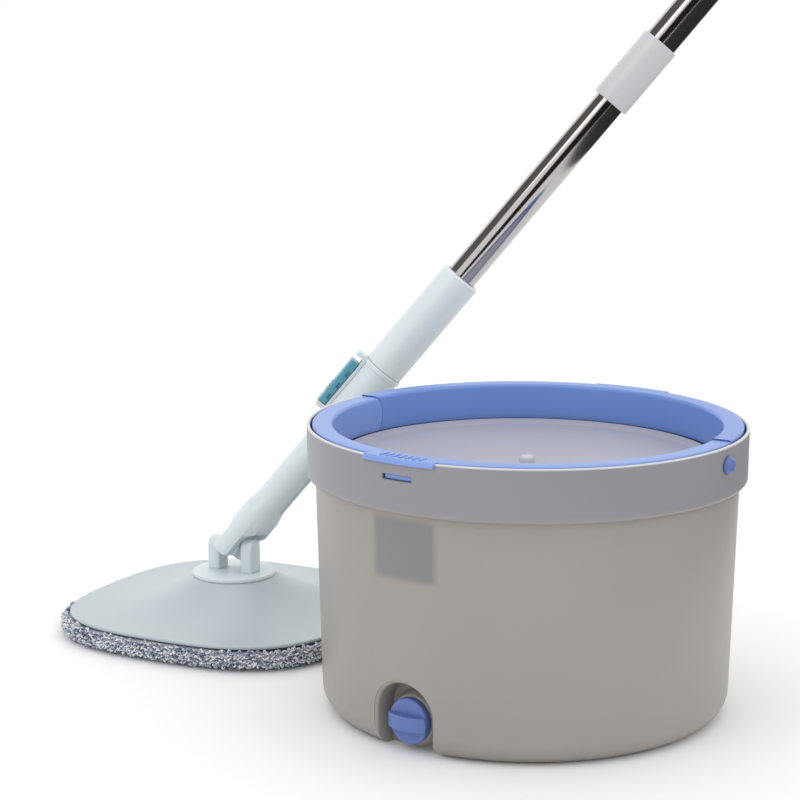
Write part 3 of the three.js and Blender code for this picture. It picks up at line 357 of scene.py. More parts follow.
def bucket_plastic():
    """Natural polypropylene, milky. Its colour holds painted light: the band is darker where the ring stands behind
    the wall, partly thicker plastic and partly painted shade; a soft grey rectangle is a painted shadow of the
    latch guard behind the front wall; and the top of the lip carries a painted highlight.
    """
    material = moulded("moulded polypropylene, milky", ("938F8A", "999591"), 0.4)
    tree = material.node_tree
    shader = tree.nodes["Principled BSDF"]
    base = shader.inputs["Base Color"].links[0].from_socket
    place_in = add(tree, "ShaderNodeTexCoord").outputs["Object"]
    heading = math.atan2(BUCKET_X.y, BUCKET_X.x)
    local = add(tree, "ShaderNodeMapping", {"Vector": place_in,
                                            "Rotation": (0, 0, -heading)}).outputs["Vector"]
    height = add(tree, "ShaderNodeSeparateXYZ", {"Vector": local}).outputs["Z"]
    # Painted shade: above 160 mm the band turns darker and cooler where the ring stands behind the wall, partly the
    # doubled plastic and partly painted shade.
    band = add(tree, "ShaderNodeMapRange", {"Value": height, "From Min": 0.1600, "From Max": 0.1675},
               interpolation_type="SMOOTHSTEP")
    # Painted highlight: a lighter tone along the very top of the lip.
    lip = add(tree, "ShaderNodeMapRange", {"Value": height, "From Min": 0.1966, "From Max": 0.1976},
              interpolation_type="SMOOTHSTEP")
    # Painted shadow: a soft dark rectangle on the front wall, the shadow of the latch guard behind it.
    guard = painted_shadow_patch(tree, local, -7.0, 138, 23.5, 20, 3.5)
    for amount, code in ((band.outputs["Result"], BAND_PAINTED_SHADE_TONE), (guard, GUARD_PAINTED_SHADOW_TONE),
                         (lip.outputs["Result"], LIP_PAINTED_HIGHLIGHT_TONE)):
        tint = add(tree, "ShaderNodeMix", data_type="RGBA")
        tree.links.new(amount, tint.inputs[0])
        tree.links.new(base, tint.inputs[6])
        tint.inputs[7].default_value = linear(code)
        base = tint.outputs[2]
    tree.links.new(base, shader.inputs["Base Color"])
    return material


BUCKET_PLASTIC = bucket_plastic()
RING_BLUE = moulded("moulded polypropylene, sky blue", ("6687CB", "6F8FD1"), 0.36)
HANDLE_BLUE = moulded("moulded polypropylene, pale sky blue", ("7492D1", "7D9AD6"), 0.36)
KNOB_BLUE = moulded("moulded polypropylene, cornflower blue", ("566CAA", "5E74B1"), 0.34)
TRAY_GREY = moulded("moulded polypropylene, cool grey", ("A6A5B0", "ACABB5"), 0.42)
MINT = moulded("moulded ABS, mint white", ("CDD7DB", "D3DDE0"), 0.33)
PLATE_MINT = moulded("moulded ABS, mint grey", ("AEB8BD", "B5BFC3"), 0.36)
SLEEVE_MINT = moulded("moulded ABS, mint white, glossier", ("D0D9DB", "D6DEE0"), 0.3)
TEAL = moulded("moulded ABS, teal", ("4F93A8", "5A9DB2"), 0.3)
COLLAR_WHITE = moulded("moulded ABS, white", ("BEBEC0", "C5C5C7"), 0.3)
CHROME = steel("chrome-plated steel tube, polished", "BDBAB8", 0.1)
PIN_STEEL = steel("turned stainless steel", "A8ACB0", 0.3)


# ---- bucket ----

BUCKET_R, BUCKET_HEIGHT = 150.0, 198.0
BODY_BASE_R, BODY_TOP_R = 139.6, 144.2
BASE_ROUNDING, BODY_SLOPE_HEIGHT = 21, 141
WALL = 2.3
LIP_INNER_R = 147.7
RING_IN, RING_OUT, RING_WALL = 132.2, 146.3, 2
INNER_SKIRT_END, OUTER_SKIRT_END = 174.0, 172.5
RING_TOP, REAR_TOP = 198.5, 199.5
FRONT_TAB_TURN, REAR_TAB_TURN = math.radians(-2.9), math.radians(-1.2)
PIVOT_Z = 186.0
RUN = 0.4
HANDLE_END_R = math.hypot(RING_TOP - PIVOT_Z + RUN, REAR_TOP - PIVOT_Z) - RUN
TRAY_R = 130.2
DRAIN_TURN = math.radians(-4)
DRAIN_Z = 20.5
POCKET_BACK = 120.6
KNOB_R = 15.5
BOSS_HEIGHT = 8.0


def toward_drain(shape):
    """Stands a shape drawn along Z out through the wall at the drain."""
    lying(shape, (0, -1, 0))
    moved(shape, Matrix.Translation((0, 0, DRAIN_Z)))
    return moved(shape, Matrix.Rotation(DRAIN_TURN, 4, "Z"))


def pocket_cutter(width, top, back, flare):
    """Arched recess: its mouth follows the round wall and rolls over on the flare radius."""
    half = width / 2
    count = 24
    arch = [(-half, -4.0), (half, -4.0)]
    turns = [math.pi * k / count for k in range(count + 1)]
    arch += [(half * math.cos(turn), top - half + half * math.sin(turn)) for turn in turns]
    middle = Vector((0, top - half))
    rings = []
    steps = [(0.0, None)]
    steps += [(flare * (1 - math.cos(a)), flare * (1 - math.sin(a))) for a in np.radians((0, 22, 45, 68, 82))]
    steps.append((flare + 1.5, -6.0))
    for spread, depth in steps:
        ring = []
        for x, z in arch:
            outward = Vector((x, z)) - Vector((0, min(z, middle.y)))
            outward = outward.normalized() if outward.length > 1e-6 else Vector((0, 0))
            px, pz = x + outward.x * spread, z + outward.y * spread
            if depth is None:
                ring.append((px, -back, pz))
                continue
            wall_r = BODY_BASE_R + (BODY_TOP_R - BODY_BASE_R) * max(pz - BASE_ROUNDING, 0) / BODY_SLOPE_HEIGHT
            ring.append((px, -(math.sqrt(wall_r ** 2 - px ** 2) - depth), pz))
        rings.append(ring)
    return moved(lofted(rings), Matrix.Rotation(DRAIN_TURN, 4, "Z"))


def bucket_wall():
    corners = [
        (0, 0, 0), (40, 0, 0.8), (42, 2, 1), (104.6, 2, 1), (106.6, 0, 0.8),
        (BODY_BASE_R, 0, BASE_ROUNDING), (BODY_TOP_R, 162.4, 0.9), (149.6, 162.0, 7.4), (BUCKET_R,
                                                                                         BUCKET_HEIGHT, 0.9),
        (LIP_INNER_R, BUCKET_HEIGHT, 0.9), (147.3, 164.6, 5.6), (141.9, 164.4, 1.2), (137.3, 4.3, 18.6),
        (10.7, 4.3, 0.6), (10.7, 16.3, 0.6), (0, 16.3, 0),
    ]
    return turned(rounded(corners, closed=False, steps=8), 256)


def bucket():
    shell = bucket_wall()
    lining = pocket_cutter(44 + 2 * WALL, 47.5 + WALL, POCKET_BACK - WALL, 0.1)
    keep = turned([(0, 1.0), (125, 1.0), (138.4, 14), (138.4, 60), (0, 60)], 128)
    join(shell, common(lining, keep))
    cut(shell, pocket_cutter(44, 47.5, POCKET_BACK, 2.6))
    boss = rounded([(0, -1.2, 0), (19, -1.2, 0), (19, 2.0, 3.0), (16.6, BOSS_HEIGHT, 1.6),
                    (0, BOSS_HEIGHT, 0)], closed=False)
    join(shell, toward_drain(turned([(r, POCKET_BACK + h) for r, h in boss], 96)))
    near, far = POCKET_BACK - 9, POCKET_BACK + 9
    cut(shell, toward_drain(turned([(0, near), (7, near), (7, far), (0, far)], 48)))
    openings = []
    for side, notch_width in ((-1, 55.6), (1, 59.6)):
        openings.append(at_tab(block(23, 12, 4, (0, side * LIP_INNER_R, PIVOT_Z), 0.8, "Y"), side))
        openings.append(at_tab(block(notch_width, 14, 6.6, (0, side * LIP_INNER_R, BUCKET_HEIGHT), 1.2,
                                     "Y"), side))
    cut(shell, *openings[::2], *openings[1::2], pivot_hole(1), pivot_hole(-1))
    return piece("bucket", shell, BUCKET_PLACE, BUCKET_PLASTIC, "bucket", ["bucket_shell"], smooth=30)


def at_tab(shape, side):
    """Turns a shape from square to the pivot line to where the tabs are."""
    return moved(shape, Matrix.Rotation(FRONT_TAB_TURN if side < 0 else REAR_TAB_TURN, 4, "Z"))


def pivot_hole(side):
    """From the ring's inner skirt, which stays closed, out through the wall."""
    start = RING_IN + RING_WALL
    hole = lying(turned([(0, start), (3.4, start), (3.4, 156), (0, 156)], 32), (side, 0, 0))
    return moved(hole, Matrix.Translation((0, 0, PIVOT_Z)))


def mouth_ring(top):
    """The ring in the bucket's mouth: a flat rim with a deep skirt on each side of it."""
    corners = [
        (RING_IN, INNER_SKIRT_END, 0.6), (RING_IN + RING_WALL, INNER_SKIRT_END, 0.6),
        (RING_IN + RING_WALL, top - RING_WALL, 1), (RING_OUT - RING_WALL, top - RING_WALL, 1),
        (RING_OUT - RING_WALL, OUTER_SKIRT_END, 0.6), (RING_OUT, OUTER_SKIRT_END, 0.6),
        (RING_OUT, top, 1.4), (RING_IN, top, 2.4),
    ]
    return turned(rounded(corners), 256)


def handle_region(radius):
    """Everything in front of the pivot line, with ends that turn about the pivots."""
    front = block(400, 200, 120, (0, -100, PIVOT_Z))
    ends = lying(turned([(0, -200), (radius, -200), (radius, 200), (0, 200)], 128), (1, 0, 0))
    return join(front, moved(ends, Matrix.Translation((0, 0, PIVOT_Z))))


def lift_tab(width, side, top):
    """A finger tab that laps over the bucket's lip."""
    corners = [(144.8, 195, 0), (152, 195, 0.6), (152, 196.6, 0.9), (149.2, top, 2.2), (144.8, top, 0)]
    band = turned(rounded(corners), 256)
    return at_tab(common(band, block(width, 40, 30, (0, side * 158, 195), 9.0, "Z")), side)


def latch_barb(side):
    """The snap that shows through the window under a tab."""
    corners = [(145.4, 184.4, 0), (147.8, 184.4, 0.4), (148.2, 187.6, 0.6), (145.4, 187.6, 0)]
    return at_tab(common(turned(rounded(corners), 256), block(21, 40, 10, (0, side * 147, 186))), side)


def new_tree(name, inputs):
    """A Geometry Nodes tree with named inputs; returns it with those inputs' sockets."""
    tree = bpy.data.node_groups.new(name, "GeometryNodeTree")
    for label, kind in inputs.items():
        tree.interface.new_socket(label, in_out="INPUT", socket_type="NodeSocket" + kind)
    tree.interface.new_socket("Geometry", in_out="OUTPUT", socket_type="NodeSocketGeometry")
    return tree, add(tree, "NodeGroupInput").outputs


def grip_ribs():
    """Seven raised ribs across the front tab, set out along the rim by Geometry Nodes."""
    rib = block(2.0, 8.2, 1.4, (0, 0, 0), 0.65, "Y")
    softened(rib, 0.35)
    tree, given = new_tree("ribs round the rim", {
        "Geometry": "Geometry", "Rib": "Object", "Count": "Int", "Pitch angle": "Float",
        "Rim radius": "Float", "Height": "Float", "Material": "Material",
    })
    line = add(tree, "GeometryNodeMeshLine", {"Count": given["Count"], "Offset": (0, 0, 0)})
    index = add(tree, "GeometryNodeInputIndex").outputs["Index"]
    last = add(tree, "ShaderNodeMath", {0: given["Count"], 1: 1.0}, operation="SUBTRACT")
    middle = add(tree, "ShaderNodeMath", {0: last.outputs["Value"], 1: 2.0}, operation="DIVIDE")
    step = add(tree, "ShaderNodeMath", {0: index, 1: middle.outputs["Value"]}, operation="SUBTRACT")
    angle = add(tree, "ShaderNodeMath", {0: step.outputs["Value"], 1: given["Pitch angle"]},
                operation="MULTIPLY")
    sine = add(tree, "ShaderNodeMath", {0: angle.outputs["Value"]}, operation="SINE")
    cosine = add(tree, "ShaderNodeMath", {0: angle.outputs["Value"]}, operation="COSINE")
    x = add(tree, "ShaderNodeMath", {0: sine.outputs["Value"], 1: given["Rim radius"]}, operation="MULTIPLY")
    y = add(tree, "ShaderNodeMath", {0: cosine.outputs["Value"], 1: given["Rim radius"]},
            operation="MULTIPLY")
    back = add(tree, "ShaderNodeMath", {0: y.outputs["Value"], 1: -1.0}, operation="MULTIPLY")
    spot = add(tree, "ShaderNodeCombineXYZ", {"X": x.outputs["Value"], "Y": back.outputs["Value"],
                                              "Z": given["Height"]})
    set_out = add(tree, "GeometryNodeSetPosition", {"Geometry": line.outputs["Mesh"],
                                                    "Position": spot.outputs["Vector"]})
    shape = add(tree, "GeometryNodeObjectInfo", {"Object": given["Rib"]})
    turn = add(tree, "ShaderNodeCombineXYZ", {"Z": angle.outputs["Value"]})
    copies = add(tree, "GeometryNodeInstanceOnPoints", {"Points": set_out.outputs["Geometry"],
                                                        "Instance": shape.outputs["Geometry"],
                                                        "Rotation": turn.outputs["Vector"]})
    real = add(tree, "GeometryNodeRealizeInstances", {"Geometry": copies.outputs["Instances"]})
    coloured = add(tree, "GeometryNodeSetMaterial", {"Geometry": real.outputs["Geometry"],
                                                     "Material": given["Material"]})
    add(tree, "NodeGroupOutput", {"Geometry": coloured.outputs["Geometry"]})
    made = grown(tree, {"Rib": rib, "Count": 7, "Pitch angle": 5.0 / 143.0, "Rim radius": 143.0,
                        "Height": RING_TOP + 0.1, "Material": HANDLE_BLUE})
    bpy.data.objects.remove(rib)
    return at_tab(made, -1)


def grown(tree, values, base=None):
    """Runs a Geometry Nodes tree with its named inputs and returns the result as a plain mesh object."""
    if base is None:
        base = bpy.data.objects.new("work", bpy.data.meshes.new("work"))
        bpy.context.scene.collection.objects.link(base)
    maker = base.modifiers.new("made", "NODES")
    maker.node_group = tree
    for item in tree.interface.items_tree:
        if item.item_type == "SOCKET" and item.in_out == "INPUT" and item.name in values:
            maker[item.identifier] = values[item.name]
    return settle(base)


def handle():
    half = common(mouth_ring(RING_TOP), handle_region(HANDLE_END_R))
    eyes = []
    for side in (-1, 1):
        eye = rounded([(0, 133.9, 0), (11, 133.9, 0.5), (11, 145.6, 0.5), (0, 145.6, 0)], closed=False)
        eyes.append(moved(lying(turned(eye, 64), (side, 0, 0)), Matrix.Translation((0, 0, PIVOT_Z))))
    join(half, *eyes, lift_tab(55, -1, RING_TOP), latch_barb(-1))
    cut(half, pivot_hole(1), pivot_hole(-1))
    join(half, grip_ribs())
    return piece("folding_handle", half, BUCKET_PLACE, HANDLE_BLUE, "carry_handle", ["carry_handle"],
                 smooth=30)


def rear_ring():
    half = cut(mouth_ring(REAR_TOP), handle_region(HANDLE_END_R + RUN))
    join(half, lift_tab(59, 1, REAR_TOP), latch_barb(1))
    return piece("fixed_ring", half, BUCKET_PLACE, RING_BLUE, "bucket", ["rim_ring"], smooth=30)


def pivot_pins():
    for side, node in ((1, "pivot_pin_right"), (-1, "pivot_pin_left")):
        profile = rounded([(0, 134.5, 0), (3, 134.5, 0.4), (3, 150.3, 0), (6, 150.3, 0), (6, 151.4, 0.4),
                           (4.6, 153.6, 2.0),
                           (0, 153.8, 0)], closed=False)
        pin = moved(lying(turned(profile, 48), (side, 0, 0)), Matrix.Translation((0, 0, PIVOT_Z)))
        piece(node + "_cap", pin, BUCKET_PLACE, KNOB_BLUE, "bucket", [node])


def tray():
    top = [(5.9, 166.4), (9.0, 166.4)] + [(r, 166.4 + 6 * (r / TRAY_R) ** 2) for r in range(13, 122, 5)]
    top += rounded([(119, 171.4, 0), (123, 171.8, 6), (TRAY_R, 174.9, 0.8), (TRAY_R, 172.7, 0.5),
                    (122.6, 169.6, 5),
                    (118, 169.2, 0)], closed=False)[1:-1]
    under = [(r, 164.2 + 6 * (r / TRAY_R) ** 2) for r in range(117, 12, -6)]
    hub = rounded([(12, 164.2, 0), (10.4, 164.0, 0.8), (10.4, 153.4, 0.6), (5.9, 153.4, 0.3),
                   (5.9, 160, 0)], closed=False)[1:]
    return piece("tray", turned(top + under + hub, 192), Matrix.Scale(MM, 4), TRAY_GREY, "tray",
                 ["spin_tray"])


def cap():
    profile = rounded([(0, 164.5, 0), (5.6, 164.5, 0.3), (5.6, 166.7, 0), (6.0, 166.7, 0.2),
                       (5.6, 167.7, 0.4), (5, 174.7, 4.6),
                       (0, 174.7, 0)], closed=False, steps=8)
    return piece("tray_cap", turned(profile, 48), Matrix.Scale(MM, 4), COLLAR_WHITE, "tray", ["hub_cap"])


def knob():
    face = POCKET_BACK + BOSS_HEIGHT + 0.3
    disc = rounded([(0, face - 20, 0), (6.6, face - 20, 0.4), (6.6, face, 0), (KNOB_R, face, 0.4),
                    (KNOB_R, face + 5, 1.1), (0, face + 5, 0)], closed=False)
    body = turned(disc, 96)
    front = [(x, face + 11.4 - 0.022 * x * x) for x in np.linspace(-15.5, 15.5, 33)]
    bar = prism([(-15.5, face + 3)] + front + [(15.5, face + 3)], -4.9, 4.9, "Y")
    common(bar, turned([(0, face), (15.3, face), (15.3, face + 20), (0, face + 20)], 96))
    softened(bar, 0.9, segments=3)
    join(body, bar)
    return piece("drain_tap", toward_drain(body), BUCKET_PLACE, KNOB_BLUE, "drain_knob", ["drain_knob"])


# ---- mop head ----

PAD_SIDE, PAD_POWER = 245.0, 2.95
PLATE_SIDE, PLATE_POWER = 228.5, 2.9
EAR_R, EAR_THICK, EAR_SPAN = 7.2, 10.8, 40.0
EAR_TOP_Z = 61.7


def square_ring(side, power, shrink, z, count=160):
    """A rounded square, drawn as a superellipse."""
    ring = []
    for i in range(count):
        angle = 2 * math.pi * i / count
        c, s = math.cos(angle), math.sin(angle)
        reach = side / 2 / (abs(c) ** power + abs(s) ** power) ** (1 / power) - shrink
        ring.append(Vector((reach * c, reach * s, z)))
    return ring


def plate_rows(drop):
    """The plate is flat near its edge, then climbs ever more steeply to the seat of the disc."""
    edge = square_ring(PLATE_SIDE, PLATE_POWER, 12, 0)
    seat = square_ring(64, 2, 0, 0)
    rows = []
    for share in np.linspace(0, 1, 29):
        z = 18 + 21.7 * share ** 2.2 - drop
        rows.append([Vector((*a.lerp(b, share).xy, z)) for a, b in zip(edge, seat)])
    return rows


def plate():
    under = plate_rows(2.4)[::-1]
    rim = [square_ring(PLATE_SIDE, PLATE_POWER, shrink, z) for shrink, z in
           ((6, 15.6), (1.0, 15.6), (0.3, 15.9), (0, 16.6), (0, 17.2), (0.3, 17.8), (1.0, 18.1),
            (2.4, 18.1), (6, 18.0))]
    return piece("mop_plate", lofted(under + rim + plate_rows(0)), HEAD_PLACE, PLATE_MINT, "mop_head",
                 ["head_plate"])


def clevis():
    disc = rounded([(0, 40, 0), (32, 40, 0.3), (32, 43, 1.8), (0, 43, 0)], closed=False)
    base = turned(disc, 96)
    ears = []
    for side in (-1, 1):
        outline = [(-EAR_R, 42.0), (EAR_R, 42.0)]
        outline += [(EAR_R * math.cos(a), EAR_TOP_Z + EAR_R * math.sin(a)) for a in np.linspace(0, math.pi,
                                                                                                25)]
        inner = EAR_SPAN / 2 - EAR_THICK
        ear = prism(outline, side * inner, side * (EAR_SPAN / 2), "X")
        ears.append(softened(ear, 2.2, segments=4))
    join(base, *ears)
    bore = lying(turned([(0, -18.4), (2.8, -18.4), (2.8, 18.4), (0, 18.4)], 32), (1, 0, 0))
    cut(base, moved(bore, Matrix.Translation((0, 0, EAR_TOP_Z))))
    return piece("clevis", base, HEAD_PLACE, MINT, "mop_head", ["clevis_mount"])


def cross_piece():
    half_x, half_y = 8.9, 7.6
    core = block(2 * half_x, 2 * half_y, 2 * half_y, (0, 0, 0), 1.2, "X")
    for direction in ((1, 0, 0), (0, 1, 0)):
        common(core, lying(turned([(0, -12), (8.4, -12), (8.4, 12), (0, 12)], 64), direction))
    bores = [lying(turned([(0, -12), (2.8, -12), (2.8, 12), (0, 12)], 32), d) for d in ((1, 0, 0), (0, 1, 0))]
    cut(core, *bores)
    softened(core, 0.5)
    return piece("tilt_cross", core, BLOCK_PLACE, MINT, "tilt_block", ["cross_block"])


def fork_neck():
    """The neck ends in a fork: straight tines with rounded tips and an arched throat between them."""
    profile = rounded([(0, -15.2, 0), (15.25, -15.2, 0), (15.25, 35.1, 6), (13.25, 43.5, 8),
                       (13.25, 168.5, 0.6),
                       (9.75, 168.5, 0.4), (9.75, 42.5, 0.4), (0, 42.5, 0)], closed=False)
    neck = turned(profile, 128)
    wide = 17.0
    slope = math.tan(math.radians(47))
    shoulder = 13.5 + (wide - 7.2) * slope
    flank = [(-7.2, -8, 3.5), (7.2, -8, 3.5), (7.2, 13.5, 8), (wide, shoulder, 0), (wide, 180, 0),
             (-wide, 180, 0),
             (-wide, shoulder, 0), (-7.2, 13.5, 8)]
    common(neck, prism(rounded(flank), -18, 18, "Y"))
    throat = [(-30, -30, 0), (30, -30, 0), (30, 9.6 + 30 * slope, 0), (0, 9.6, 7), (-30, 9.6 + 30 * slope, 0)]
    bore = lying(turned([(0, -13.6), (2.8, -13.6), (2.8, 13.6), (0, 13.6)], 32), (0, 1, 0))
    key = block(2.4, 3, 125, (13.25, 0, 107), 0.2)
    cut(neck, prism(rounded(throat), -8.2, 8.2, "Y"), bore, key)
    softened(neck, 0.9, segments=3)
    return piece("fork_neck", neck, NECK_PLACE, MINT, "neck", ["neck"], smooth=35)


# ---- pole ----

def housing():
    profile = rounded([(13.65, 132.5, 0), (15.05, 132.5, 0), (15.05, 124.5, 0.2), (15.75, 124.5, 0.5),
                       (15.75, 176.0, 0.6),
                       (16.4, 176.8, 0.5), (16.4, 179.4, 0.6), (15.6, 180.2, 0.3), (13.65, 180.2, 0.2)])
    body = turned(profile, 96)
    bracket = block(9.8, 15, 52.7, (19.15, 0, 153.85), 1.6, "Y")
    softened(bracket, 0.9, segments=3)
    core = turned([(0, 110), (15.4, 110), (15.4, 190), (0, 190)], 96)
    channel = block(14, 18, 45.4, (24, 0, 154), 0.4, "Y")
    groove = block(2.8, 6.8, 45.4, (17, 0, 154), 0)
    join(body, cut(bracket, core, channel, groove))
    return piece("lock_case", body, LOCK_PLACE, MINT, "lower_handle", ["lock_housing"])


def slider():
    bar = block(6.7, 15, 40, (20.65, 0, 151.7), 1.4, "Z")
    softened(bar, 0.4, segments=2)
    join(bar, block(2.4, 6, 39.6, (17.5, 0, 151.7), 0.3))
    slots = [block(3.4, 4, 4.6, (18.7, side * 7.5, 151.7 + z), 0.4, "Y") for z in (-13, -2,
                                                                                   9) for side in (-1, 1)]
    slots += [block(1.5, 11, 1.5, (24.2, 0, 141.7 + 3.2 * i), 0.3, "Y") for i in range(3)]
    cut(bar, *slots)
    return piece("lock_button", bar, LOCK_PLACE, TEAL, "lock_slider", ["lock_slider"])


def sleeve_tube():
    profile = rounded([(13.65, 180.5, 0.2), (15.75, 180.5, 0.4), (15.75, 270.8, 0.8), (14.4, 272.5, 0.6),
                       (11.9, 272.5, 0.3), (11.9, 268.5, 0), (13.65, 268.5, 0)])
    return piece("pole_sleeve", turned(profile, 96), NECK_PLACE, SLEEVE_MINT, "lower_handle", ["sleeve"])


def tubes():
    lower = rounded([(10.8, 247, 0.2), (11.6, 247, 0.2), (11.6, 696.5, 0.2), (10.8, 696.5, 0.2)])
    piece("lower_tube", turned(lower, 96), NECK_PLACE, CHROME, "lower_handle", ["inner_tube"])
    upper = rounded([(12.0, 468.1, 0.2), (12.7, 468.1, 0.2), (12.7, 1114.5, 0.2), (12.0, 1114.5, 0.2)])
    piece("upper_tube", turned(upper, 96), NECK_PLACE, CHROME, "upper_handle", ["outer_tube"])


def collar():
    profile = rounded([(12.0, 443.5, 0.2), (14.6, 443.5, 1.6), (14.6, 501, 1.2), (13.1, 501, 0.3),
                       (13.1, 447.5, 0), (12.0, 447.5, 0)])
    return piece("clamp_collar", turned(profile, 96), NECK_PLACE, COLLAR_WHITE, "tube_collar",
                 ["tube_collar"])


def grip():
    profile = rounded([(13.0, 989.8, 0.2), (14.5, 989.8, 0.6), (15.5, 993, 2), (15.5, 999.5, 3),
                       (14.5, 1007.5, 4),
                       (14.5, 1096.5, 4), (15.5, 1106.5, 3), (15.5, 1114.5, 0.4), (13.0, 1114.5, 0.2)])
    piece("pole_grip", turned(profile, 96), NECK_PLACE, SLEEVE_MINT, "upper_handle", ["hand_grip"])
    top = rounded([(0, 1100.8, 0), (11.7, 1100.8, 0.4), (11.7, 1114.8, 0), (15.5, 1114.8, 0.3),
                   (15.5, 1131.5, 8),
                   (0, 1131.5, 0)], closed=False, steps=8)
    piece("pole_end", turned(top, 96), NECK_PLACE, SLEEVE_MINT, "upper_handle", ["end_cap"])


# ---- pad ----

def pile_material():
    """Twisted microfibre yarn in flecks of white, grey and navy, with the soft glow of loose fibres."""
    material, tree, shader = new_material("looped microfibre yarn", Roughness=0.9, Sheen_Weight=0.3,
                                          Sheen_Roughness=0.5)
    yarn = add(tree, "ShaderNodeAttribute", attribute_name="yarn")
    ramp = add(tree, "ShaderNodeValToRGB", {"Fac": yarn.outputs["Fac"]})
    ramp.color_ramp.interpolation = "CONSTANT"
    ramp.color_ramp.elements[0].color = linear("E4E6EB")
    ramp.color_ramp.elements[1].position = 0.42
    ramp.color_ramp.elements[1].color = linear("C6CAD4")
    for position, code in ((0.66, "A3AABA"), (0.84, "6A7695")):
        ramp.color_ramp.elements.new(position).color = linear(code)
    tree.links.new(ramp.outputs["Color"], shader.inputs["Base Color"])
    return material


def backing_material():
    """Woven backing cloth between the loops, a mid grey."""
    material, tree, shader = new_material("woven polyester backing", Roughness=0.95, Sheen_Weight=0.2)
    place_in = add(tree, "ShaderNodeTexCoord").outputs["Object"]
    weave = add(tree, "ShaderNodeTexNoise", {"Vector": place_in, "Scale": 700.0, "Detail": 3.0})
    ramp = add(tree, "ShaderNodeValToRGB", {"Fac": weave.outputs["Fac"]})
    ramp.color_ramp.elements[0].color = linear("8D94A5")
    ramp.color_ramp.elements[1].color = linear("C6CAD4")
    tree.links.new(ramp.outputs["Color"], shader.inputs["Base Color"])
    bump = add(tree, "ShaderNodeBump", {"Height": weave.outputs["Fac"], "Distance": 0.3 * MM})
    tree.links.new(bump.outputs["Normal"], shader.inputs["Normal"])
    return material


def pad_core():
    """The pad's foam core in its cover, before the loops: swollen by a short cloth simulation."""
    rows = [(9.0, 3.8), (5.4, 4.2), (3.6, 6.0), (3.0, 8.5), (3.0, 11.5), (3.8, 14.0), (5.4, 15.2),
            (7.4, 14.8),
            (9.4, 13.2), (12.0, 12.8)]
    core = lofted([square_ring(PAD_SIDE, PAD_POWER, shrink, z, 96) for shrink, z in rows])
    remesh = core.modifiers.new("even mesh", "REMESH")
    remesh.mode = "VOXEL"
    remesh.voxel_size = 4.5
    settle(core)
    core.data.transform(Matrix.Scale(MM, 4))
    rest = np.array([v.co for v in core.data.vertices])
    cloth = core.modifiers.new("swell", "CLOTH")
    cloth.settings.use_pressure = True
    cloth.settings.uniform_pressure_force = 4.0
    cloth.settings.effector_weights.gravity = 0.0
    cloth.point_cache.frame_start = 1
    cloth.point_cache.frame_end = 20
    for step in range(1, 21):
        bpy.context.scene.frame_set(step)
    settle(core)
    bpy.context.scene.frame_set(1)
    swollen = np.array([v.co for v in core.data.vertices])
    move = swollen - rest
    length = np.linalg.norm(move, axis=1, keepdims=True)
    cap = 1.6 * MM
    move *= np.minimum(1, cap / np.maximum(length, 1e-9))
    points = rest + move
    half = (PLATE_SIDE / 2 + 1) * MM
    spread = np.abs(points[:, 0] / half) ** PLATE_POWER + np.abs(points[:, 1] / half) ** PLATE_POWER
    points[:, 2] = np.clip(points[:, 2], 3.6 * MM, np.where(spread > 1, 16.4, 14.4) * MM)
    core.data.vertices.foreach_set("co", points.astype(np.float32).ravel())
    core.data.transform(Matrix.Scale(1000, 4))
    finer = core.modifiers.new("finer", "SUBSURF")
    finer.levels = 1
    finer.render_levels = 1
    return settle(core)


def loop_mesh():
    """One yarn loop, 3 mm wide and 4 mm high, of a few dozen faces."""
    count, sides = 5, 3
    points, faces = [], []
    for i in range(count + 1):
        t = math.pi * i / count
        centre = Vector((1.0 * math.cos(t), 0, 3.3 * math.sin(t) - 0.5))
        along = Vector((-1.0 * math.sin(t), 0, 3.3 * math.cos(t))).normalized()
        side = Vector((0, 1, 0))
        out = along.cross(side)
        for k in range(sides):
            a = 2 * math.pi * k / sides
            points.append(centre + 0.62 * (math.cos(a) * side + math.sin(a) * out))
    for i in range(count):
        for k in range(sides):
            j = (k + 1) % sides
            faces.append((i * sides + k, i * sides + j, (i + 1) * sides + j, (i + 1) * sides + k))
    faces += [tuple(range(sides)), tuple(range(count * sides, (count + 1) * sides))]
    return solid(points, faces)


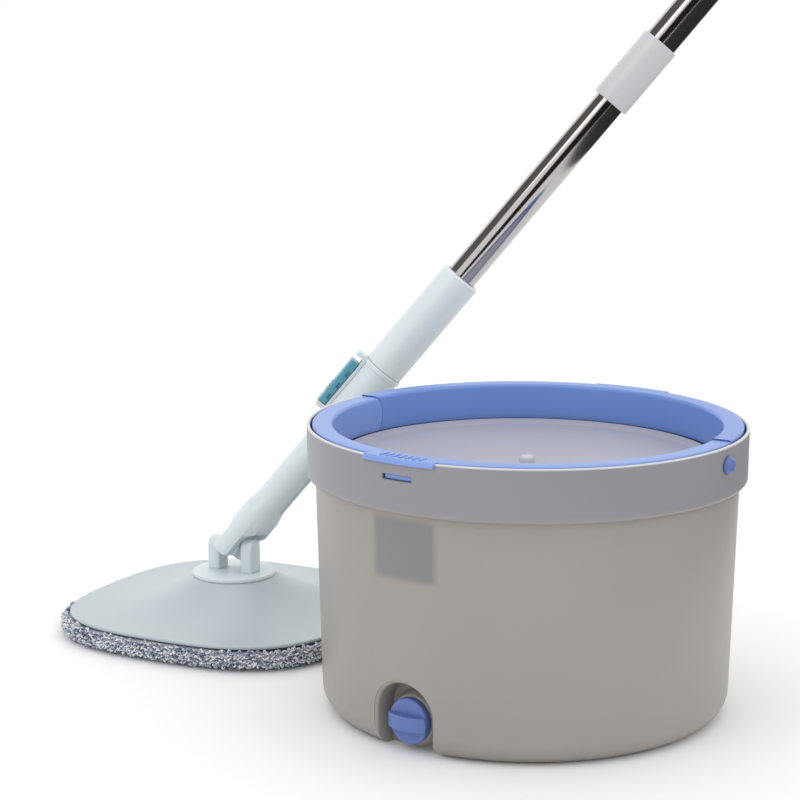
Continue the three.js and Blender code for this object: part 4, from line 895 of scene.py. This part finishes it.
def pile(core):
    """Loops scattered over the pad wherever the plate doesn't cover it."""
    loop = loop_mesh()
    tree, given = new_tree("yarn loops on a pad", {
        "Geometry": "Geometry", "Loop": "Object", "Spacing": "Float", "Density": "Float", "Seed": "Int",
        "Plate side": "Float", "Plate power": "Float", "Sole share": "Float", "Material": "Material",
    })
    normal = add(tree, "GeometryNodeInputNormal").outputs["Normal"]
    facing = add(tree, "ShaderNodeSeparateXYZ", {"Vector": normal})
    sole = add(tree, "ShaderNodeMapRange", {"Value": facing.outputs["Z"], "From Min": -0.95, "From Max": -0.6,
                                            "To Min": given["Sole share"], "To Max": 1.0})
    spread = add(tree, "GeometryNodeDistributePointsOnFaces",
                 {"Mesh": given["Geometry"], "Distance Min": given["Spacing"],
                  "Density Max": given["Density"], "Density Factor": sole.outputs["Result"], "Seed": given["Seed"]},
                 distribute_method="POISSON")
    position = add(tree, "GeometryNodeInputPosition").outputs["Position"]
    where = add(tree, "ShaderNodeSeparateXYZ", {"Vector": position})
    powers = []
    for axis in "XY":
        size = add(tree, "ShaderNodeMath", {0: where.outputs[axis]}, operation="ABSOLUTE")
        half = add(tree, "ShaderNodeMath", {0: given["Plate side"], 1: 2.0}, operation="DIVIDE")
        share = add(tree, "ShaderNodeMath", {0: size.outputs["Value"], 1: half.outputs["Value"]},
                    operation="DIVIDE")
        powers.append(add(tree, "ShaderNodeMath", {0: share.outputs["Value"], 1: given["Plate power"]},
                          operation="POWER"))
    reach = add(tree, "ShaderNodeMath", {0: powers[0].outputs["Value"], 1: powers[1].outputs["Value"]},
                operation="ADD")
    inside = add(tree, "ShaderNodeMath", {0: reach.outputs["Value"], 1: 1.0}, operation="LESS_THAN")
    high = add(tree, "ShaderNodeMath", {0: where.outputs["Z"], 1: 9.0}, operation="GREATER_THAN")
    hidden = add(tree, "ShaderNodeMath", {0: inside.outputs["Value"], 1: high.outputs["Value"]},
                 operation="MULTIPLY")
    bare = add(tree, "GeometryNodeDeleteGeometry", {"Geometry": spread.outputs["Points"],
                                                    "Selection": hidden.outputs["Value"]},
               domain="POINT")
    twist = add(tree, "FunctionNodeRandomValue", {2: -0.7, 3: 0.7, "Seed": 7}, data_type="FLOAT")
    lean = add(tree, "FunctionNodeRandomValue", {0: (-0.6, -0.6, 0.0), 1: (0.6, 0.6, 0.0), "Seed": 11},
               data_type="FLOAT_VECTOR")
    spun = add(tree, "ShaderNodeCombineXYZ", {"Z": twist.outputs[1]})
    tilted = add(tree, "ShaderNodeVectorMath", {0: lean.outputs[0], 1: spun.outputs["Vector"]},
                 operation="ADD")
    turned_to = add(tree, "FunctionNodeRotateEuler", {"Rotation": spread.outputs["Rotation"],
                                                      "Rotate By": tilted.outputs["Vector"]},
                    space="LOCAL")
    size = add(tree, "FunctionNodeRandomValue", {2: 0.8, 3: 1.2, "Seed": 3}, data_type="FLOAT")
    shape = add(tree, "GeometryNodeObjectInfo", {"Object": given["Loop"]})
    copies = add(tree, "GeometryNodeInstanceOnPoints", {"Points": bare.outputs["Geometry"],
                                                        "Instance": shape.outputs["Geometry"],
                                                        "Rotation": turned_to.outputs["Rotation"],
                                                        "Scale": size.outputs[1]})
    colour = add(tree, "FunctionNodeRandomValue", {2: 0.0, 3: 1.0, "Seed": 5}, data_type="FLOAT")
    marked = add(tree, "GeometryNodeStoreNamedAttribute", {"Geometry": copies.outputs["Instances"],
                                                           "Name": "yarn", "Value": colour.outputs[1]},
                 domain="INSTANCE", data_type="FLOAT")
    real = add(tree, "GeometryNodeRealizeInstances", {"Geometry": marked.outputs["Geometry"]})
    coloured = add(tree, "GeometryNodeSetMaterial", {"Geometry": real.outputs["Geometry"],
                                                     "Material": given["Material"]})
    add(tree, "NodeGroupOutput", {"Geometry": coloured.outputs["Geometry"]})
    made = grown(tree, {"Loop": loop, "Spacing": 1.15, "Density": 0.85, "Seed": 4, "Sole share": 0.25,
                        "Plate side": PLATE_SIDE + 3, "Plate power": PLATE_POWER, "Material": PILE}, core)
    bpy.data.objects.remove(loop)
    return made


PILE = pile_material()
BACKING = backing_material()


def pad():
    core = pad_core()
    under = bpy.data.objects.new("work", core.data.copy())
    bpy.context.scene.collection.objects.link(under)
    loops = pile(under)
    piece("mop_pad_cover", core, HEAD_PLACE, BACKING, "mop_head", ["mop_pad"], smooth=180)
    loops.name = loops.data.name = "mop_pad_loops"
    loops.data.transform(HEAD_PLACE)
    loops.data.shade_smooth()
    loops.parent = core
    return core


# ---- CAD pieces that stay as they are ----

KEPT = (
    (TRAY_GREY, ("latch_guard", "centre_post")),
    (COLLAR_WHITE, ("thrust_washer", "hub_bush", "drive_nut", "collet")),
    (TEAL, ("drain_seal",)),
    (MINT, ("press_ring", "tube_adapter")),
    (PIN_STEEL, ("hub_axle", "ear_pin", "fork_pin_front", "fork_pin_rear", "drive_spindle", "mount_screw_1",
                 "mount_screw_2", "mount_screw_3", "mount_screw_4")),
)
for material, nodes in KEPT:
    for node in nodes:
        mesh = frame["nodes"][node].data
        mesh.materials.clear()
        mesh.materials.append(material)


# ---- room ----

def card(name, centre, toward, width, height, tone):
    """A dark card that only the polished metal mirrors, as a studio sets beside chrome."""
    material = bpy.data.materials.new(name)
    material.use_nodes = True
    tree = material.node_tree
    tree.nodes.clear()
    glow = add(tree, "ShaderNodeEmission", {"Color": (tone, tone * 0.95, tone * 0.9, 1), "Strength": 1.0})
    add(tree, "ShaderNodeOutputMaterial", {"Surface": glow.outputs["Emission"]})
    mesh = bpy.data.meshes.new(name)
    w, h = width / 2, height / 2
    mesh.from_pydata([(-w, -h, 0), (w, -h, 0), (w, h, 0), (-w, h, 0)], [], [(0, 1, 2, 3)])
    made = bpy.data.objects.new(name, mesh)
    made.location = centre
    made.rotation_euler = (Vector(toward) - Vector(centre)).to_track_quat("Z", "Y").to_euler()
    made.visible_camera = made.visible_diffuse = made.visible_shadow = made.visible_transmission = False
    bpy.context.scene.collection.objects.link(made)
    mesh.materials.append(material)


def studio():
    """A pale floor, an even white surround and three large soft lights."""
    scene = bpy.context.scene
    scene.view_settings.view_transform = "Standard"
    material, _, shader = new_material("matt white paper", Roughness=0.95)
    shader.inputs["Base Color"].default_value = linear("F5F5F5")
    floor_mesh = bpy.data.meshes.new("floor")
    floor_mesh.from_pydata([(-60, -60, 0), (60, -60, 0), (60, 60, 0), (-60, 60, 0)], [], [(0, 1, 2, 3)])
    floor_mesh.materials.append(material)
    floor = bpy.data.objects.new("floor", floor_mesh)
    scene.collection.objects.link(floor)
    world = bpy.data.worlds.new("soft surround")
    scene.world = world
    world.use_nodes = True
    world.node_tree.nodes["Background"].inputs["Color"].default_value = (1, 1, 1, 1)
    world.node_tree.nodes["Background"].inputs["Strength"].default_value = 1.09
    for name, spot, size, power in (("key light", (-1.4, -1.2, 2.0), 1.2, 5),
                                    ("fill light", (1.6, -0.8, 1.6), 1.2, 2),
                                    ("top light", (0.0, 0.5, 2.6), 2.0, 5)):
        data = bpy.data.lights.new(name, "AREA")
        data.size = size
        data.energy = power
        light = bpy.data.objects.new(name, data)
        light.location = spot
        light.rotation_euler = (Vector((0, 0, 0.1)) - Vector(spot)).to_track_quat("-Z", "Y").to_euler()
        scene.collection.objects.link(light)
    middle = (0.05, 0.2, 0.5)
    card("dark card in front", (0.4, -2.6, 0.6), middle, 3.4, 2.2, 0.02)
    card("dark card on the floor", (1.6, -0.6, 0.004), (1.6, -0.6, 1), 2.4, 3.4, 0.05)
    card("grey card up left", (-1.6, 0.3, 1.75), middle, 2.6, 1.3, 0.16)


def camera():
    data = bpy.data.cameras.new("camera")
    data.sensor_width = 36.0
    data.lens = 104.49
    data.clip_end = 50
    made = bpy.data.objects.new("camera", data)
    right, forward = Vector((0.99815, 0.06083, 0)), Vector((-0.05974, 0.98031, -0.18819))
    up = right.cross(forward).normalized()
    turn = Matrix((right, up, -forward)).transposed().to_4x4()
    made.matrix_world = Matrix.Translation((0.007819, -1.551058, 0.509713)) @ turn
    bpy.context.scene.collection.objects.link(made)
    bpy.context.scene.camera = made


studio()
camera()
bucket()
handle()
rear_ring()
pivot_pins()
tray()
cap()
knob()
plate()
clevis()
cross_piece()
fork_neck()
housing()
slider()
sleeve_tube()
tubes()
collar()
grip()
pad()
